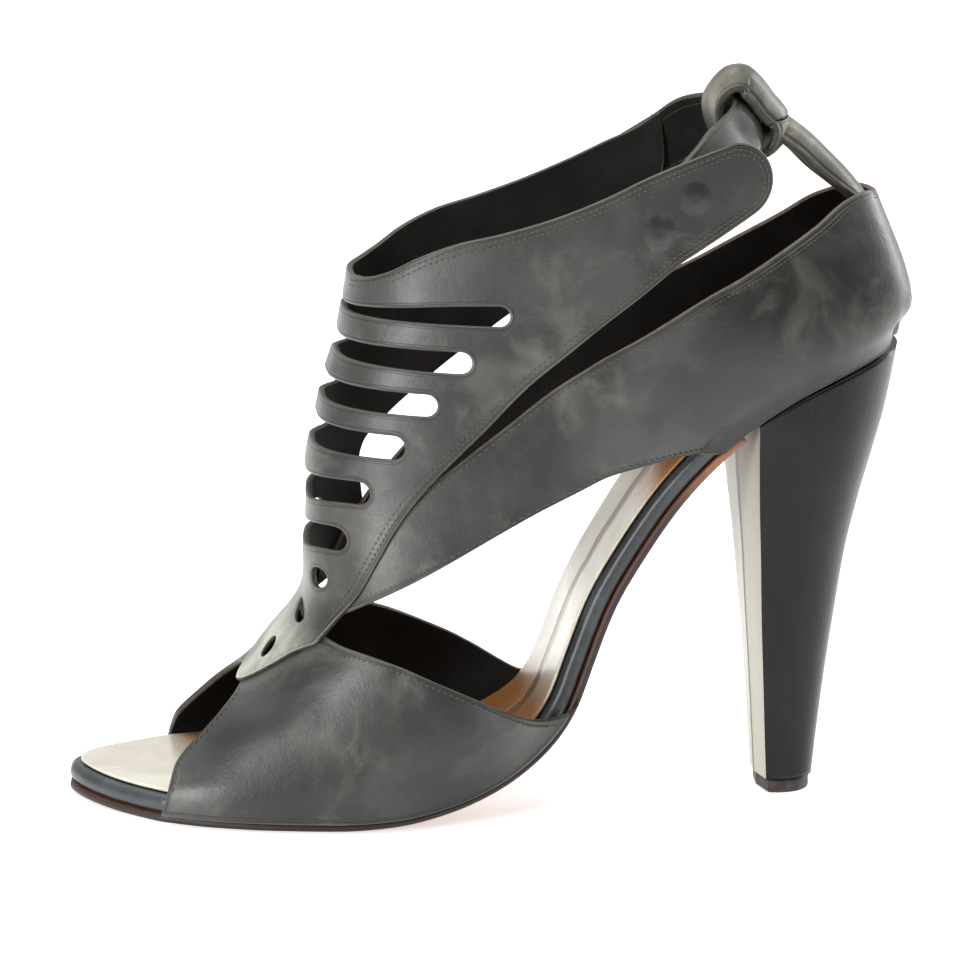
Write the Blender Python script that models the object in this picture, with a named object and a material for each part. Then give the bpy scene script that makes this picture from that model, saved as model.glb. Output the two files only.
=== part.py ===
"""Left peep-toe cage sandal with a T-strap, a closed heel, an ankle strap and a tall covered heel.

The last is modelled straight along X, toe to heel, and every piece is swung to the foot's curve at the end.
Tables give x in 205ths of the shoe's length, z in 110ths of the heel's height and widths in 80ths of the
ball's width.
"""
import math

import bmesh
import bpy
import numpy as np

# Driving sizes, in metres
SHOE_LENGTH = 0.205        # toe tip to the back of the heel
HEEL_HEIGHT = 0.110        # floor to the feather line at the back of the heel seat
BALL_WIDTH = 0.080         # upper's outer width at the ball
BOW = 0.0053               # how far toe and heel swing towards the medial side
OUTSOLE_THICKNESS = 0.0018
BOARD_THICKNESS = 0.0046   # leather-wrapped insole board, whose edge shows as a rim
SOCK_THICKNESS = 0.0008
SOCK_INSET = 0.0023        # rim left bare round the sock lining
WALL = 0.0016              # lined leather of vamp, quarter and straps
LAYER = 0.0012             # how far the T-strap lies outside the vamp and quarter
BAND_WALL = 0.0018         # ankle strap that runs through the back loop
TIP_THICKNESS = 0.0034     # heel tip
TIP_INSET = 0.0004
SLOT_ROUND_STEPS = 5       # sides of a slot's half-round end
BACK_STRAP_WALL = 0.0022
TAIL_HALF_WIDTH = 0.0066   # back strap where it climbs from the counter
LOOP_HALF_WIDTH = 0.0080   # back strap where it folds round the ankle strap
TAIL_ARCH = 0.0052         # how far the strap's edges drop below its crest
GAP = 0.0003               # between pieces that touch

HALF_SPAN = 0.07           # cutters reach this far to each side
SIDE_SPAN = 0.0035         # cutters of one side only start this far from the centre line
CLEARANCE = 9              # how far past the leather a cutter's outline closes, in table units

# Units that the tables count in
XU = SHOE_LENGTH / 205
ZU = HEEL_HEIGHT / 110
YU = BALL_WIDTH / 80

# Underside of the insole board along the foot: x, z
BED = [
    (0, 3.7), (14, 2.5), (30, 2.1), (65, 2.1), (78, 3.0), (90, 5.4), (100, 8.8), (108.5, 13.6), (115.5, 19.8),
    (119.5, 26), (123.5, 37), (128.5, 50.5), (135, 62.5), (144, 76.5), (152, 86.3), (161, 94.8), (173.5, 103),
    (186, 108.3), (198.5, 112.4),
]
# Where each layer of the sole starts and ends: x
OUTSOLE_FROM_TO = (0.6, 159.4)
BOARD_FROM_TO = (0.3, 198.2)
SOCK_FROM_TO = (3.2, 195.5)
SEAT_FROM_TO = (156.5, 198.5)   # stretch of the board that heel and counter are cut to
NOSE_HALF_WIDTH = 0.0012   # metres, blunt front end of every layer

SWING_MIDDLE = 93.5 * XU   # x where the centre line lies furthest to the lateral side

# Half width of the insole board: x, half width
BOARD_HALF_WIDTH = [
    (22.7, 27.6), (35, 32.3), (50, 35.2), (65, 36), (76, 35.4), (90, 32), (101, 27.5), (110, 23.5), (118, 20),
    (124, 18.3), (131, 17.5), (142, 18), (152, 19.8), (161, 21.4), (170, 22), (174, 22),
]
NOSE = (22.7, 0.57)        # x where the pointed nose ends, and the power its width grows with
SEAT_ROUND = (174, 24.5)   # x where the heel seat starts to round off, and how long the rounding is

# Front line of the last, seen from the side: z, x
FRONT = [
    (0, -12), (6, 3), (12, 17), (18, 25.5), (24, 33.3), (31, 44.2), (36, 48), (41, 53.2), (46, 57.2), (52, 59.2),
    (84, 59.5), (100, 62.8), (120, 67.6), (135, 69.5), (180, 73),
]
# Back lines of the last: z, x. The ankle's medial side, the ankle's lateral side under the stiff tab, the heel cup
BACK_MEDIAL = [(0, 150), (60, 152), (75, 158), (90, 163), (110, 164), (180, 162)]
BACK_LATERAL = [(0, 150), (60, 152), (75, 160), (90, 170), (110, 178), (180, 180)]
BACK_QUARTER = [
    (0, 150), (60, 152), (75, 165), (90, 182), (100, 192), (110, 199.2), (116, 201.8), (122, 203), (130, 201.2),
    (138, 198), (145, 195), (152, 192), (160, 188),
]
BEHIND = max(x for _, x in BACK_QUARTER) + CLEARANCE   # x clear behind the shoe
# Girth of the last: z, half width, and the power that squares its horizontal sections
GIRTH = [
    (0, 38, 0.60), (14, 37.5, 0.60), (30, 35.5, 0.60), (43, 33.5, 0.64), (53, 31.5, 0.67), (74, 29.5, 0.70),
    (90, 29, 0.68), (110, 28.5, 0.64), (130, 27.5, 0.68), (180, 26, 0.72),
]
FEATHER_RISE = 9.0         # height over which the last swells out from the feather line
FEATHER_SPARE = 1.0        # how far past its girth that swelling aims
FEATHER_ZONE = 0.003       # metres above the board where the wall stands no further in than its edge
FEATHER_BLEND = 0.0006     # metres, how softly the swelling meets the girth
TOPLINE_LEAN = 0.27        # share of its width that the heel cup loses at the top line
LEAN_X = (125, 170)        # x from where to where the lean grows
LEAN_Z = (115, 30)         # z where it starts, and the height it takes
LEAN_MOST = 1.3            # share of that height after which it stays the same

# Outlines seen from the side: x, z
PEEP_EDGE = [
    (22.8, -2), (23.2, 2), (24, 5), (25, 9), (26.4, 13), (29, 16.3), (32, 19.3), (35, 22.3), (38, 25.3),
    (41, 28.3), (43.5, 31.2), (46.5, 35.5), (49, 40),
]
THROAT_EDGE = [
    (54, 49), (58, 46), (64, 43.3), (71, 41.6), (78, 39.6), (85, 36.8), (91, 34.3), (97, 31.7), (103, 28.9),
    (109, 26.2), (113, 25), (118, 25.4), (121, 26.4),
]
STRAP_EDGE = [
    (36, 29.0), (40.5, 28.9), (42.8, 31.0), (47.5, 34.8), (53.4, 40), (58.2, 44.4), (61.9, 48.8), (66.5, 55),
    (71.2, 64.5), (75.5, 73), (80.5, 80.5), (87.5, 88.8), (96, 97.6), (105.5, 107.4), (114.6, 115), (124.5, 122.8),
    (133.4, 129.8),
]
MEDIAL_EDGE = [            # where the T-strap is narrower on the medial side
    (72.3, 67.4), (71.8, 72), (71, 77.5), (72.2, 83), (77.5, 88.8), (88, 97.6), (101, 107.4), (111.5, 115),
    (122.5, 122.8), (133.4, 131), (141, 137),
]
TONGUE_EDGE = [            # the strap's tip lies to the lateral side of the crown: y, z
    (-9, 29.2), (0, 31.2), (5, 34), (9, 38), (13, 43), (18, 47.5),
]
COLLAR_EDGE = [
    (133.4, 157.6), (124, 153), (112, 148), (99.8, 144), (89, 141), (80.7, 137.3), (73.5, 133), (67, 130.8),
    (50, 130.6),
]
TAB_EDGE = [(128, 125.6), (133.4, 129.8), (142, 137)]
TAB_ROUND = (154.9, 156.0, 9.3)     # x, z and radius of the tab's round end
TAB_ROUND_FROM_TO = (-57, 96)       # degrees
TAB_TOP = [(145, 162.2), (133.4, 157.6), (128, 155)]
WING_EDGE = [
    (128, 129), (133.4, 131), (141, 140), (147, 148.5), (147, 166), (141.5, 161.6), (133.4, 157.6), (128, 155),
]
QUARTER_TOP = [
    (BEHIND, 150.3), (190, 150), (184, 147.8), (176.5, 142.6), (167.5, 137), (157.5, 131), (148.5, 126),
    (134.5, 117.5), (125, 112.2), (115.5, 106.3), (104, 97), (94.5, 88.6), (86.5, 80.8), (80.8, 73.6),
    (74.6, 64.6), (69.2, 57.2), (64, 53.6), (60.6, 52.4),
]
QUARTER_BOTTOM = [
    (60.6, 48.6), (65.5, 51), (71.5, 54.4), (80.5, 59.5), (89.5, 65), (99.5, 71.2), (111.5, 78.2), (120.5, 82.6),
    (128.5, 85.6), (137.5, 87.6), (147, 88.6), (153.5, 88.7),
]
TOPLINE_TILT = 0.09        # the heel's top line is lower on the medial side
TILT_X = (90, 150)         # x from where to where it becomes so

# Grids that the leather is built on
VAMP_STATIONS = [*range(20, 60, 4), *range(60, 121, 6)]   # x
VAMP_COLUMNS = 12          # points from the feather line to the crown
CROWN_FROM = (57, 3)       # z where the vamp rounds off ahead of the throat, and how far above its edge behind
CROWN_RISE = 12            # z over which it does
CAGE_ROWS = (26, 172, 5.6) # z from, to and step
CAGE_SPACING = 0.0056      # metres along a row
CAGE_REACH = 0.118         # metres from the front line to a row's end
QUARTER_ROWS = (44, 156, 5.5)
QUARTER_SPACING = 0.0064
QUARTER_COLUMNS = 24
AHEAD = VAMP_STATIONS[0] - CLEARANCE        # x clear before the vamp
CLEAR_ABOVE = QUARTER_ROWS[1] + CLEARANCE   # z clear above the counter
LAST_SHARE = 0.97          # a row stops short of the last's far line by the rest
BAND_GRID = (30, 5)        # points along the ankle strap and across it
SOLE_STATIONS = (34, 40, 38)   # along outsole, board and sock lining
TAIL_STATIONS, LOOP_STATIONS, RIBBON_COLUMNS = 13, 26, 7
TAB_ROUND_STEPS = 9

# Slots of the cage: x of the lateral round end, x of the medial one, z there, z at the front, height at the ends,
# height at the front
SLOTS = [
    (101.5, 71.4, 124.3, 122.4, 4.8, 1.2), (93.4, 69, 113, 113.2, 5.1, 3.8), (85.6, 66.4, 102.5, 102.6, 5.2, 5.0),
    (78.3, 63.8, 92, 92, 5.6, 5.6), (70.5, 62, 80.3, 78.6, 5.3, 6.2), (65.7, 61.8, 68.4, 66.6, 5.6, 6.0),
]
EYES = [(-14.6, 57.5, 3.5, 2.5), (-8.3, 47.2, 4.6, 2.0), (-8, 37.4, 3.4, 1.8)]   # y, z, half width, half height
EYE_SIDES = 10
EYE_FROM_TO = (30, 64)     # x that the eyes' cutters run over

# Ankle strap from the medial wing through the loop and under the tab: y, top x, top z, bottom x, bottom z
BAND = [
    (28.4, 133, 156.5, 136, 140), (27.6, 138.5, 160, 144.5, 145.5), (25.6, 144, 163.8, 153, 150.6),
    (20.5, 149.5, 168.8, 160.4, 156), (13, 153.8, 171.6, 163.8, 159.8), (8, 154.9, 172.8, 164.6, 161.8),
    (0, 155.4, 173.8, 165.4, 163.4), (-8, 154.5, 172.4, 164.2, 161.2), (-13, 152.6, 170.2, 162.4, 158),
    (-18, 149.4, 167.2, 159.8, 154.6), (-22, 145.6, 163.6, 154.6, 150), (-25.4, 140.6, 159.4, 148, 145.6),
    (-27.6, 135.6, 155.4, 142, 141.5), (-28.9, 130, 150.4, 136, 137),
]
BAND_BULGE = (0.0019, 13, 5)   # metres, y inside which the strap bulges in the loop, and how soon it does
# Back strap's crest from inside the counter to the seam: x, z, share of the full arch
TAIL = [
    (196.6, 137.5, 0.25), (194.8, 142, 0.3), (192.2, 147.6, 0.45), (187.8, 153.2, 0.8), (182.6, 158.4, 1),
    (177.8, 162.9, 1), (173.4, 166.2, 1), (169.6, 168.6, 1),
]
# Fold round the ankle strap, a closed ring seen from the side: x, z, share of the arch
LOOP = [
    (171.8, 168.2, 1.1), (168.4, 172.6, 1.2), (165.2, 176.6, 1.2), (161.6, 179.3, 1.15), (157.4, 179.4, 1.0),
    (153.6, 177.3, 0.6), (151.2, 172.8, 0.05), (151.2, 167.3, 0), (154.4, 162.5, 0), (158.8, 159.7, 0),
    (163.4, 158.4, 0.1), (168.2, 159.4, 0.5), (171.4, 163.2, 0.8),
]

# Heel: z, half width, breast x, back x
HEEL = [
    (0, 8.8, 169.7, 183.6), (12, 9.5, 168.8, 184.6), (30, 11.2, 167.4, 186.4), (46, 13.4, 166, 188.3),
    (61, 16, 164.8, 190.3), (74, 18.9, 163.5, 193), (86, 22, 162.4, 196), (97, 23.9, 161.7, 198.7),
    (110, 24.4, 161.3, 201), (122, 24.4, 161, 202.5),
]
BREAST_RIDGE = 0.0012      # how far the breast's middle seam stands ahead of its corners
BREAST_NARROWING = 0.94    # width at the breast's corners, as a share of the heel's widest
HEEL_WIDEST = 0.2          # share of the way from breast to back where the heel is widest
HEEL_ROUNDNESS = 2.3       # power that rounds the heel behind that
HEEL_SHARES = (0.0, 0.1, 0.22, 0.36, 0.5, 0.63, 0.75, 0.85, 0.93, 0.98)
HEEL_LEVELS = (12, 24, 36, 48, 58, 68, 77, 86, 94, 102, 112, 121)
ARCH_ROUND = 0.93          # share of a half circle that the back strap's arch uses


def smooth(rows, at, column=1):
    """Monotone cubic through column of a table's rows, at values of its first column."""
    x = np.array([row[0] for row in rows], float)
    y = np.array([row[column] for row in rows], float)
    step = np.diff(x)
    slope = np.diff(y) / step
    tangent = np.zeros(len(x))
    tangent[0], tangent[-1] = slope[0], slope[-1]
    for i in range(1, len(x) - 1):
        if slope[i - 1] * slope[i] > 0:
            a, b = 2 * step[i] + step[i - 1], step[i] + 2 * step[i - 1]
            tangent[i] = (a + b) / (a / slope[i - 1] + b / slope[i])
    at = np.clip(np.asarray(at, float), x[0], x[-1])
    i = np.clip(np.searchsorted(x, at) - 1, 0, len(x) - 2)
    t = (at - x[i]) / step[i]
    return (
        y[i] * (1 + 2 * t) * (1 - t) ** 2 + step[i] * tangent[i] * t * (1 - t) ** 2
        + y[i + 1] * t * t * (3 - 2 * t) + step[i] * tangent[i + 1] * t * t * (t - 1)
    )


def curve_through(points, count, closed=False):
    """count points evenly spaced along a smooth curve through the rows of points."""
    points = np.array(points, float)
    if closed:
        points = np.vstack([points[-2:], points, points[:3]])
    chord = np.concatenate([[0], np.cumsum(np.linalg.norm(np.diff(points[:, :2], axis=0), axis=1))])
    first, last = (chord[2], chord[-3]) if closed else (chord[0], chord[-1])
    at = np.linspace(first, last, count, endpoint=not closed)
    tangent = np.gradient(points, chord, axis=0)
    i = np.clip(np.searchsorted(chord, at, side="right") - 1, 0, len(chord) - 2)
    step = (chord[i + 1] - chord[i])[:, None]
    t = ((at - chord[i])[:, None]) / step
    return (
        points[i] * (1 + 2 * t) * (1 - t) ** 2 + step * tangent[i] * t * (1 - t) ** 2
        + points[i + 1] * t * t * (3 - 2 * t) + step * tangent[i + 1] * t * t * (t - 1)
    )


def bed_line(count, x_from=BED[0][0], x_to=BED[-1][0]):
    """Points and upward normals (x, z) of the board's underside, in metres, evenly spaced along it."""
    x = np.array([row[0] for row in BED], float) * XU
    z = np.array([row[1] for row in BED], float) * ZU
    chord = np.concatenate([[0], np.cumsum(np.hypot(np.diff(x), np.diff(z)))])
    along_x, along_z = list(zip(chord, x)), list(zip(chord, z))
    fine = np.linspace(0, chord[-1], 2000)
    fx = smooth(along_x, fine)
    lo, hi = np.interp([x_from * XU, x_to * XU], fx, fine)
    at = np.linspace(lo, hi, count)
    px, pz = smooth(along_x, at), smooth(along_z, at)
    d = 1e-5
    dx = smooth(along_x, at + d) - smooth(along_x, at - d)
    dz = smooth(along_z, at + d) - smooth(along_z, at - d)
    size = np.hypot(dx, dz)
    return px, pz, -dz / size, dx / size


BED_FINE = bed_line(900)


def bed_height(x):
    """Height of the board's underside at x, and the cosine of its slope there."""
    return np.interp(x, BED_FINE[0], BED_FINE[1]), np.interp(x, BED_FINE[0], BED_FINE[3])


def board_half_width(x):
    """Half width of the insole board at x, pointed at the toe and round at the heel seat."""
    x = np.asarray(x, float) / XU
    nose_end, power = NOSE
    seat, length = SEAT_ROUND
    nose = BOARD_HALF_WIDTH[0][1] * (np.clip(x, 0, nose_end) / nose_end) ** power
    seat_round = np.sqrt(np.clip(1 - (np.clip(x - seat, 0, length) / length) ** 2, 0, 1))
    return YU * np.where(x < nose_end, nose, smooth(BOARD_HALF_WIDTH, x) * seat_round)


def seat_outline(below):
    """The board's underside over the heel as x, z rows in table units, lowered by below, run on past the back."""
    px, pz, nx, nz = bed_line(10, *SEAT_FROM_TO)
    rows = [((x - a * below) / XU, (z - b * below) / ZU) for x, z, a, b in zip(px, pz, nx, nz)]
    slope = (rows[-1][1] - rows[-2][1]) / (rows[-1][0] - rows[-2][0])
    return rows + [(BEHIND, rows[-1][1] + slope * (BEHIND - rows[-1][0]))]


def half_width(x, z, back):
    """Half width of the last at x and z, all in metres. back is the table of its back line."""
    zt = z / ZU
    front, rear = smooth(FRONT, zt) * XU, smooth(back, zt) * XU
    girth, power = smooth(GIRTH, zt) * YU, smooth(GIRTH, zt, 2)
    if back is BACK_QUARTER:
        grown = np.clip((x / XU - LEAN_X[0]) / (LEAN_X[1] - LEAN_X[0]), 0, 1)
        rise = np.clip((zt - LEAN_Z[0]) / LEAN_Z[1], 0, LEAN_MOST)
        girth = girth * (1 - TOPLINE_LEAN * grown * rise ** 2)
    reach = (rear - front) / 2
    cosine = np.clip((front + reach - x) / reach, -1, 1)
    free = girth * (1 - cosine ** 2) ** (power / 2)
    floor, slope = bed_height(x)
    seat = board_half_width(x) + GAP
    above = (z - floor) * slope - BOARD_THICKNESS
    swell = (girth + FEATHER_SPARE * YU - seat) * (1 - np.exp(-np.clip(above, 0, None) / (FEATHER_RISE * ZU)))
    held = seat + np.clip(swell, 0, None)
    eased = (free + held - np.sqrt((free - held) ** 2 + 4 * FEATHER_BLEND ** 2) + FEATHER_BLEND) / 2
    eased = np.minimum(eased, free)
    return np.where(above < FEATHER_ZONE, np.maximum(eased, seat), eased)


def section(z, back, spacing, reach, from_back=False):
    """Points x, v round the last at height z, spacing apart along it, from one side to the other."""
    front, rear = smooth(FRONT, z / ZU) * XU, smooth(back, z / ZU) * XU
    turn = np.linspace(0, math.pi, 420)
    x = (front + rear) / 2 - (rear - front) / 2 * np.cos(turn)
    v = half_width(x, np.full_like(x, z), back)
    v[0] = v[-1] = 0
    if from_back:
        x, v = x[::-1], v[::-1]
    length = np.concatenate([[0], np.cumsum(np.hypot(np.diff(x), np.diff(v)))])
    at = np.linspace(0, min(reach * spacing, LAST_SHARE * length[-1]), reach + 1)
    return np.interp(at, length, x), np.interp(at, length, v)


def shell(grid, inner, outer, closed=False):
    """Vertices and faces of a wall between two offsets from a grid. closed joins the first row to the last."""
    rows, columns, _ = grid.shape
    if closed:
        padded = np.concatenate([grid[-1:], grid, grid[:1]])
        along_u = (padded[2:] - padded[:-2])
    else:
        along_u = np.gradient(grid, axis=0)
    along_v = np.gradient(grid, axis=1)
    normal = np.cross(along_u, along_v)
    normal /= np.linalg.norm(normal, axis=2, keepdims=True)
    verts = np.concatenate([(grid + normal * inner).reshape(-1, 3), (grid + normal * outer).reshape(-1, 3)])
    layer = rows * columns
    faces = []
    for i in range(rows if closed else rows - 1):
        for j in range(columns - 1):
            a, b = i * columns + j, i * columns + j + 1
            d, c = (i + 1) % rows * columns + j, (i + 1) % rows * columns + j + 1
            faces.append((a, b, c, d))
            faces.append((a + layer, d + layer, c + layer, b + layer))
        for j in (0, columns - 1):
            a, d = i * columns + j, (i + 1) % rows * columns + j
            rim = (a, d, d + layer, a + layer)
            faces.append(rim if j == 0 else rim[::-1])
    if not closed:
        for i in (0, rows - 1):
            for j in range(columns - 1):
                a, b = i * columns + j, i * columns + j + 1
                rim = (a, a + layer, b + layer, b)
                faces.append(rim if i == 0 else rim[::-1])
    return verts, faces


def make_object(name, verts, faces):
    """A mesh object with its faces pointing out."""
    mesh = bpy.data.meshes.new(name)
    mesh.from_pydata([tuple(v) for v in verts], [], faces)
    mesh.validate()
    made = bmesh.new()
    made.from_mesh(mesh)
    bmesh.ops.triangulate(made, faces=made.faces)
    bmesh.ops.recalc_face_normals(made, faces=made.faces)
    if made.calc_volume(signed=True) < 0:
        bmesh.ops.reverse_faces(made, faces=made.faces)
    made.to_mesh(mesh)
    made.free()
    part = bpy.data.objects.new(name, mesh)
    bpy.context.scene.collection.objects.link(part)
    return part


def prism(name, outline, v_from, v_to, tilt=0.0):
    """A cutter: an outline of x, z rows in table units, run across the foot.

    tilt lowers its medial side, from nothing to the full amount over TILT_X.
    """
    count = len(outline)
    verts = []
    for v in (v_from, v_to):
        for x, z in outline:
            grown = min(max((x - TILT_X[0]) / (TILT_X[1] - TILT_X[0]), 0), 1)
            verts.append((x * XU, v, z * ZU - tilt * grown * v))
    return make_object(name, verts, prism_faces(count))


def prism_faces(count):
    """Faces between two equal outlines of count points."""
    faces = [tuple(range(count)), tuple(range(2 * count - 1, count - 1, -1))]
    return faces + [(i, i + count, (i + 1) % count + count, (i + 1) % count) for i in range(count)]


def front_prism(name, outline):
    """A cutter that runs backwards through the instep: an outline of y, z rows in table units."""
    verts = [(x * XU, y * YU, z * ZU) for x in EYE_FROM_TO for y, z in outline]
    return make_object(name, verts, prism_faces(len(outline)))


def combine(part, other, operation):
    """Applies an exact Boolean of part with other, and removes other."""
    modifier = part.modifiers.new("combine", "BOOLEAN")
    modifier.operation = operation
    modifier.solver = "EXACT"
    modifier.object = other
    graph = bpy.context.evaluated_depsgraph_get()
    result = bpy.data.meshes.new_from_object(part.evaluated_get(graph))
    part.modifiers.remove(modifier)
    part.data = result
    bpy.data.objects.remove(other)
    made = bmesh.new()
    made.from_mesh(result)
    bmesh.ops.remove_doubles(made, verts=made.verts, dist=1e-6)
    bmesh.ops.dissolve_limit(made, angle_limit=math.radians(0.6), verts=made.verts, edges=made.edges)
    bmesh.ops.triangulate(made, faces=made.faces)
    made.to_mesh(result)
    made.free()
    return part


def vamp():
    """Toe arch from the peep to the throat, open underneath."""
    sections = []
    throat_x, throat_z = zip(*THROAT_EDGE)
    for x in np.array(VAMP_STATIONS) * XU:
        floor, _ = bed_height(x)
        open_from = np.interp(x / XU, throat_x, throat_z, left=CROWN_FROM[0]) + CROWN_FROM[1]
        rays = np.linspace(0, math.pi / 2, 70)
        low, high = np.zeros_like(rays), np.full_like(rays, 0.12)
        for _ in range(34):
            middle = (low + high) / 2
            y, z = middle * np.cos(rays), floor + middle * np.sin(rays)
            lid = np.sqrt(np.clip(1 - np.clip((z / ZU - open_from) / CROWN_RISE, 0, 1) ** 2, 0, 1))
            inside = half_width(np.full_like(y, x), z, BACK_LATERAL) * lid > y
            low, high = np.where(inside, middle, low), np.where(inside, high, middle)
        y, z = low * np.cos(rays), floor + low * np.sin(rays)
        y[-1] = 0
        length = np.concatenate([[0], np.cumsum(np.hypot(np.diff(y), np.diff(z)))])
        at = np.linspace(0, length[-1], VAMP_COLUMNS)
        ys, zs = np.interp(at, length, y), np.interp(at, length, z)
        side = np.stack([np.full(VAMP_COLUMNS, x), -ys, zs], 1)
        other = side[-2::-1] * (1, -1, 1)
        sections.append(np.concatenate([side, other]))
    grid = np.array(sections)
    verts, faces = shell(grid, 0, WALL)
    part = make_object("vamp", verts, faces)
    front = prism("peep", [(AHEAD, -4)] + PEEP_EDGE + [(49, 60), (AHEAD, 60)], -HALF_SPAN, HALF_SPAN)
    combine(part, front, "DIFFERENCE")
    back = prism("throat", THROAT_EDGE + [(140, 30), (140, 90), (54, 90)], -HALF_SPAN, HALF_SPAN)
    return combine(part, back, "DIFFERENCE")


def round_end(centre_x, centre_z, radius, start, end, steps):
    """Points on an arc, angles in degrees."""
    turns = [math.radians(start + (end - start) * i / steps) for i in range(steps + 1)]
    return [(centre_x + radius * math.cos(t), centre_z + radius * math.sin(t)) for t in turns]


def cage_grid():
    """Grid over instep and ankle, from the tab's side round the front to the medial wing."""
    reach = round(CAGE_REACH / CAGE_SPACING)
    rows = []
    for z in np.arange(*CAGE_ROWS) * ZU:
        x_near, v_near = section(z, BACK_LATERAL, CAGE_SPACING, reach)
        x_far, v_far = section(z, BACK_MEDIAL, CAGE_SPACING, reach)
        x = np.concatenate([x_near[::-1], x_far[1:]])
        v = np.concatenate([-v_near[::-1], v_far[1:]])
        rows.append(np.stack([x, v, np.full_like(x, z)], 1))
    return np.array(rows)


def slot(row):
    """Cutter of one slot: straight through the front, with a round end on each side."""
    lateral_x, medial_x, end_z, front_z, end_height, front_height = row
    radius = end_height / 2
    cutters = []
    for end_x, v_from, v_to in ((lateral_x, -HALF_SPAN, 0), (medial_x, -SIDE_SPAN, HALF_SPAN)):
        start_x = end_x - radius
        near = min(smooth(FRONT, front_z), start_x - radius)
        outline = round_end(start_x, end_z, radius, -90, 90, SLOT_ROUND_STEPS)
        outline += [(near, front_z + front_height / 2), (AHEAD, front_z + front_height / 2)]
        outline += [(AHEAD, front_z - front_height / 2), (near, front_z - front_height / 2)]
        cutters.append(prism("slot", outline, v_from, v_to))
    return cutters


def cage():
    """T-strap, ladder of slots, collar, lateral tab and medial wing."""
    tab = TAB_EDGE + round_end(*TAB_ROUND, *TAB_ROUND_FROM_TO, TAB_ROUND_STEPS) + TAB_TOP
    outline = prism("cage_outline", STRAP_EDGE + COLLAR_EDGE + [(36, 130.6)], -HALF_SPAN, HALF_SPAN)
    beyond = MEDIAL_EDGE + [(145, 137), (145, 60), (80, 40)]
    combine(outline, prism("medial_outline", beyond, SIDE_SPAN, HALF_SPAN), "DIFFERENCE")
    combine(outline, prism("tab_outline", tab, -HALF_SPAN, -SIDE_SPAN), "UNION")
    combine(outline, prism("wing_outline", WING_EDGE, SIDE_SPAN, HALF_SPAN), "UNION")
    verts, faces = shell(cage_grid(), LAYER, LAYER + WALL)
    part = combine(make_object("cage", verts, faces), outline, "INTERSECT")
    for row in SLOTS:
        for cutter in slot(row):
            combine(part, cutter, "DIFFERENCE")
    for y, z, width, height in EYES:
        turns = [2 * math.pi * (i + 0.5) / EYE_SIDES for i in range(EYE_SIDES)]
        eye = [(y + width * math.cos(t), z + height * math.sin(t)) for t in turns]
        combine(part, front_prism("eye", eye), "DIFFERENCE")
    below = TONGUE_EDGE + [(30, 47.5), (30, 20), (-9, 20)]
    return combine(part, front_prism("below_tongue", below), "DIFFERENCE")


def quarter():
    """Heel cup with its two wings that run forward to the T-strap."""
    rows = []
    for z in np.arange(*QUARTER_ROWS) * ZU:
        x, v = section(z, BACK_QUARTER, QUARTER_SPACING, QUARTER_COLUMNS, from_back=True)
        x = np.concatenate([x[::-1], x[1:]])
        v = np.concatenate([-v[::-1], v[1:]])
        rows.append(np.stack([x, v, np.full_like(x, z)], 1))
    verts, faces = shell(np.array(rows), 0, -WALL)
    part = make_object("quarter", verts, faces)
    below = [(BEHIND, 160), (60.6, 160)] + QUARTER_BOTTOM + seat_outline(0)
    combine(part, prism("quarter_outline", below, -HALF_SPAN, HALF_SPAN), "INTERSECT")
    above = QUARTER_TOP + [(50, 52), (50, CLEAR_ABOVE), (BEHIND, CLEAR_ABOVE)]
    return combine(part, prism("quarter_top", above, -HALF_SPAN, HALF_SPAN, TOPLINE_TILT), "DIFFERENCE")


def band():
    """Ankle strap from the medial wing, up through the back loop and down under the tab."""
    rows = np.array(BAND, float)
    rows = rows * (YU, XU, ZU, XU, ZU)
    path = curve_through(rows[:, [0, 2, 1, 3, 4]], BAND_GRID[0])
    across = np.linspace(0, 1, BAND_GRID[1])
    top = path[:, [2, 0, 1]]
    bottom = path[:, [3, 0, 4]]
    grid = top[:, None, :] * (1 - across)[None, :, None] + bottom[:, None, :] * across[None, :, None]
    most, reach, ease = BAND_BULGE
    share = np.clip((reach * YU - np.abs(top[:, 1])) / (ease * YU), 0, 1)
    out = np.stack([top[:, 2] - bottom[:, 2], np.zeros(len(top)), bottom[:, 0] - top[:, 0]], 1)
    out *= (most * share / np.linalg.norm(out, axis=1))[:, None]
    grid += out[:, None, :] * (4 * across * (1 - across))[None, :, None]
    verts, faces = shell(grid, -BAND_WALL / 2, BAND_WALL / 2)
    return make_object("band", verts, faces)


def upper():
    """Vamp, cage, quarter and ankle strap as one wall."""
    part = vamp()
    combine(part, cage(), "UNION")
    combine(part, quarter(), "UNION")
    combine(part, band(), "UNION")
    return part


def slab(name, x_from, x_to, low, high, width_less, count):
    """A layer of the sole between two heights above the board's underside."""
    px, pz, nx, nz = bed_line(count, x_from, x_to)
    half = np.clip(board_half_width(px) - width_less, NOSE_HALF_WIDTH, None)
    verts, faces = [], []
    for x, z, a, b, w in zip(px, pz, nx, nz, half):
        for height, reach in ((low, -1), (low, 0), (low, 1), (high, 1), (high, 0), (high, -1)):
            verts.append((x + a * height, reach * w, z + b * height))
    for i in range(count - 1):
        for j in range(6):
            a, b = i * 6 + j, i * 6 + (j + 1) % 6
            faces.append((a, b, b + 6, a + 6))
    faces.append(tuple(range(6)))
    faces.append(tuple(range(count * 6 - 1, count * 6 - 7, -1)))
    return make_object(name, verts, faces)


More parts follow.
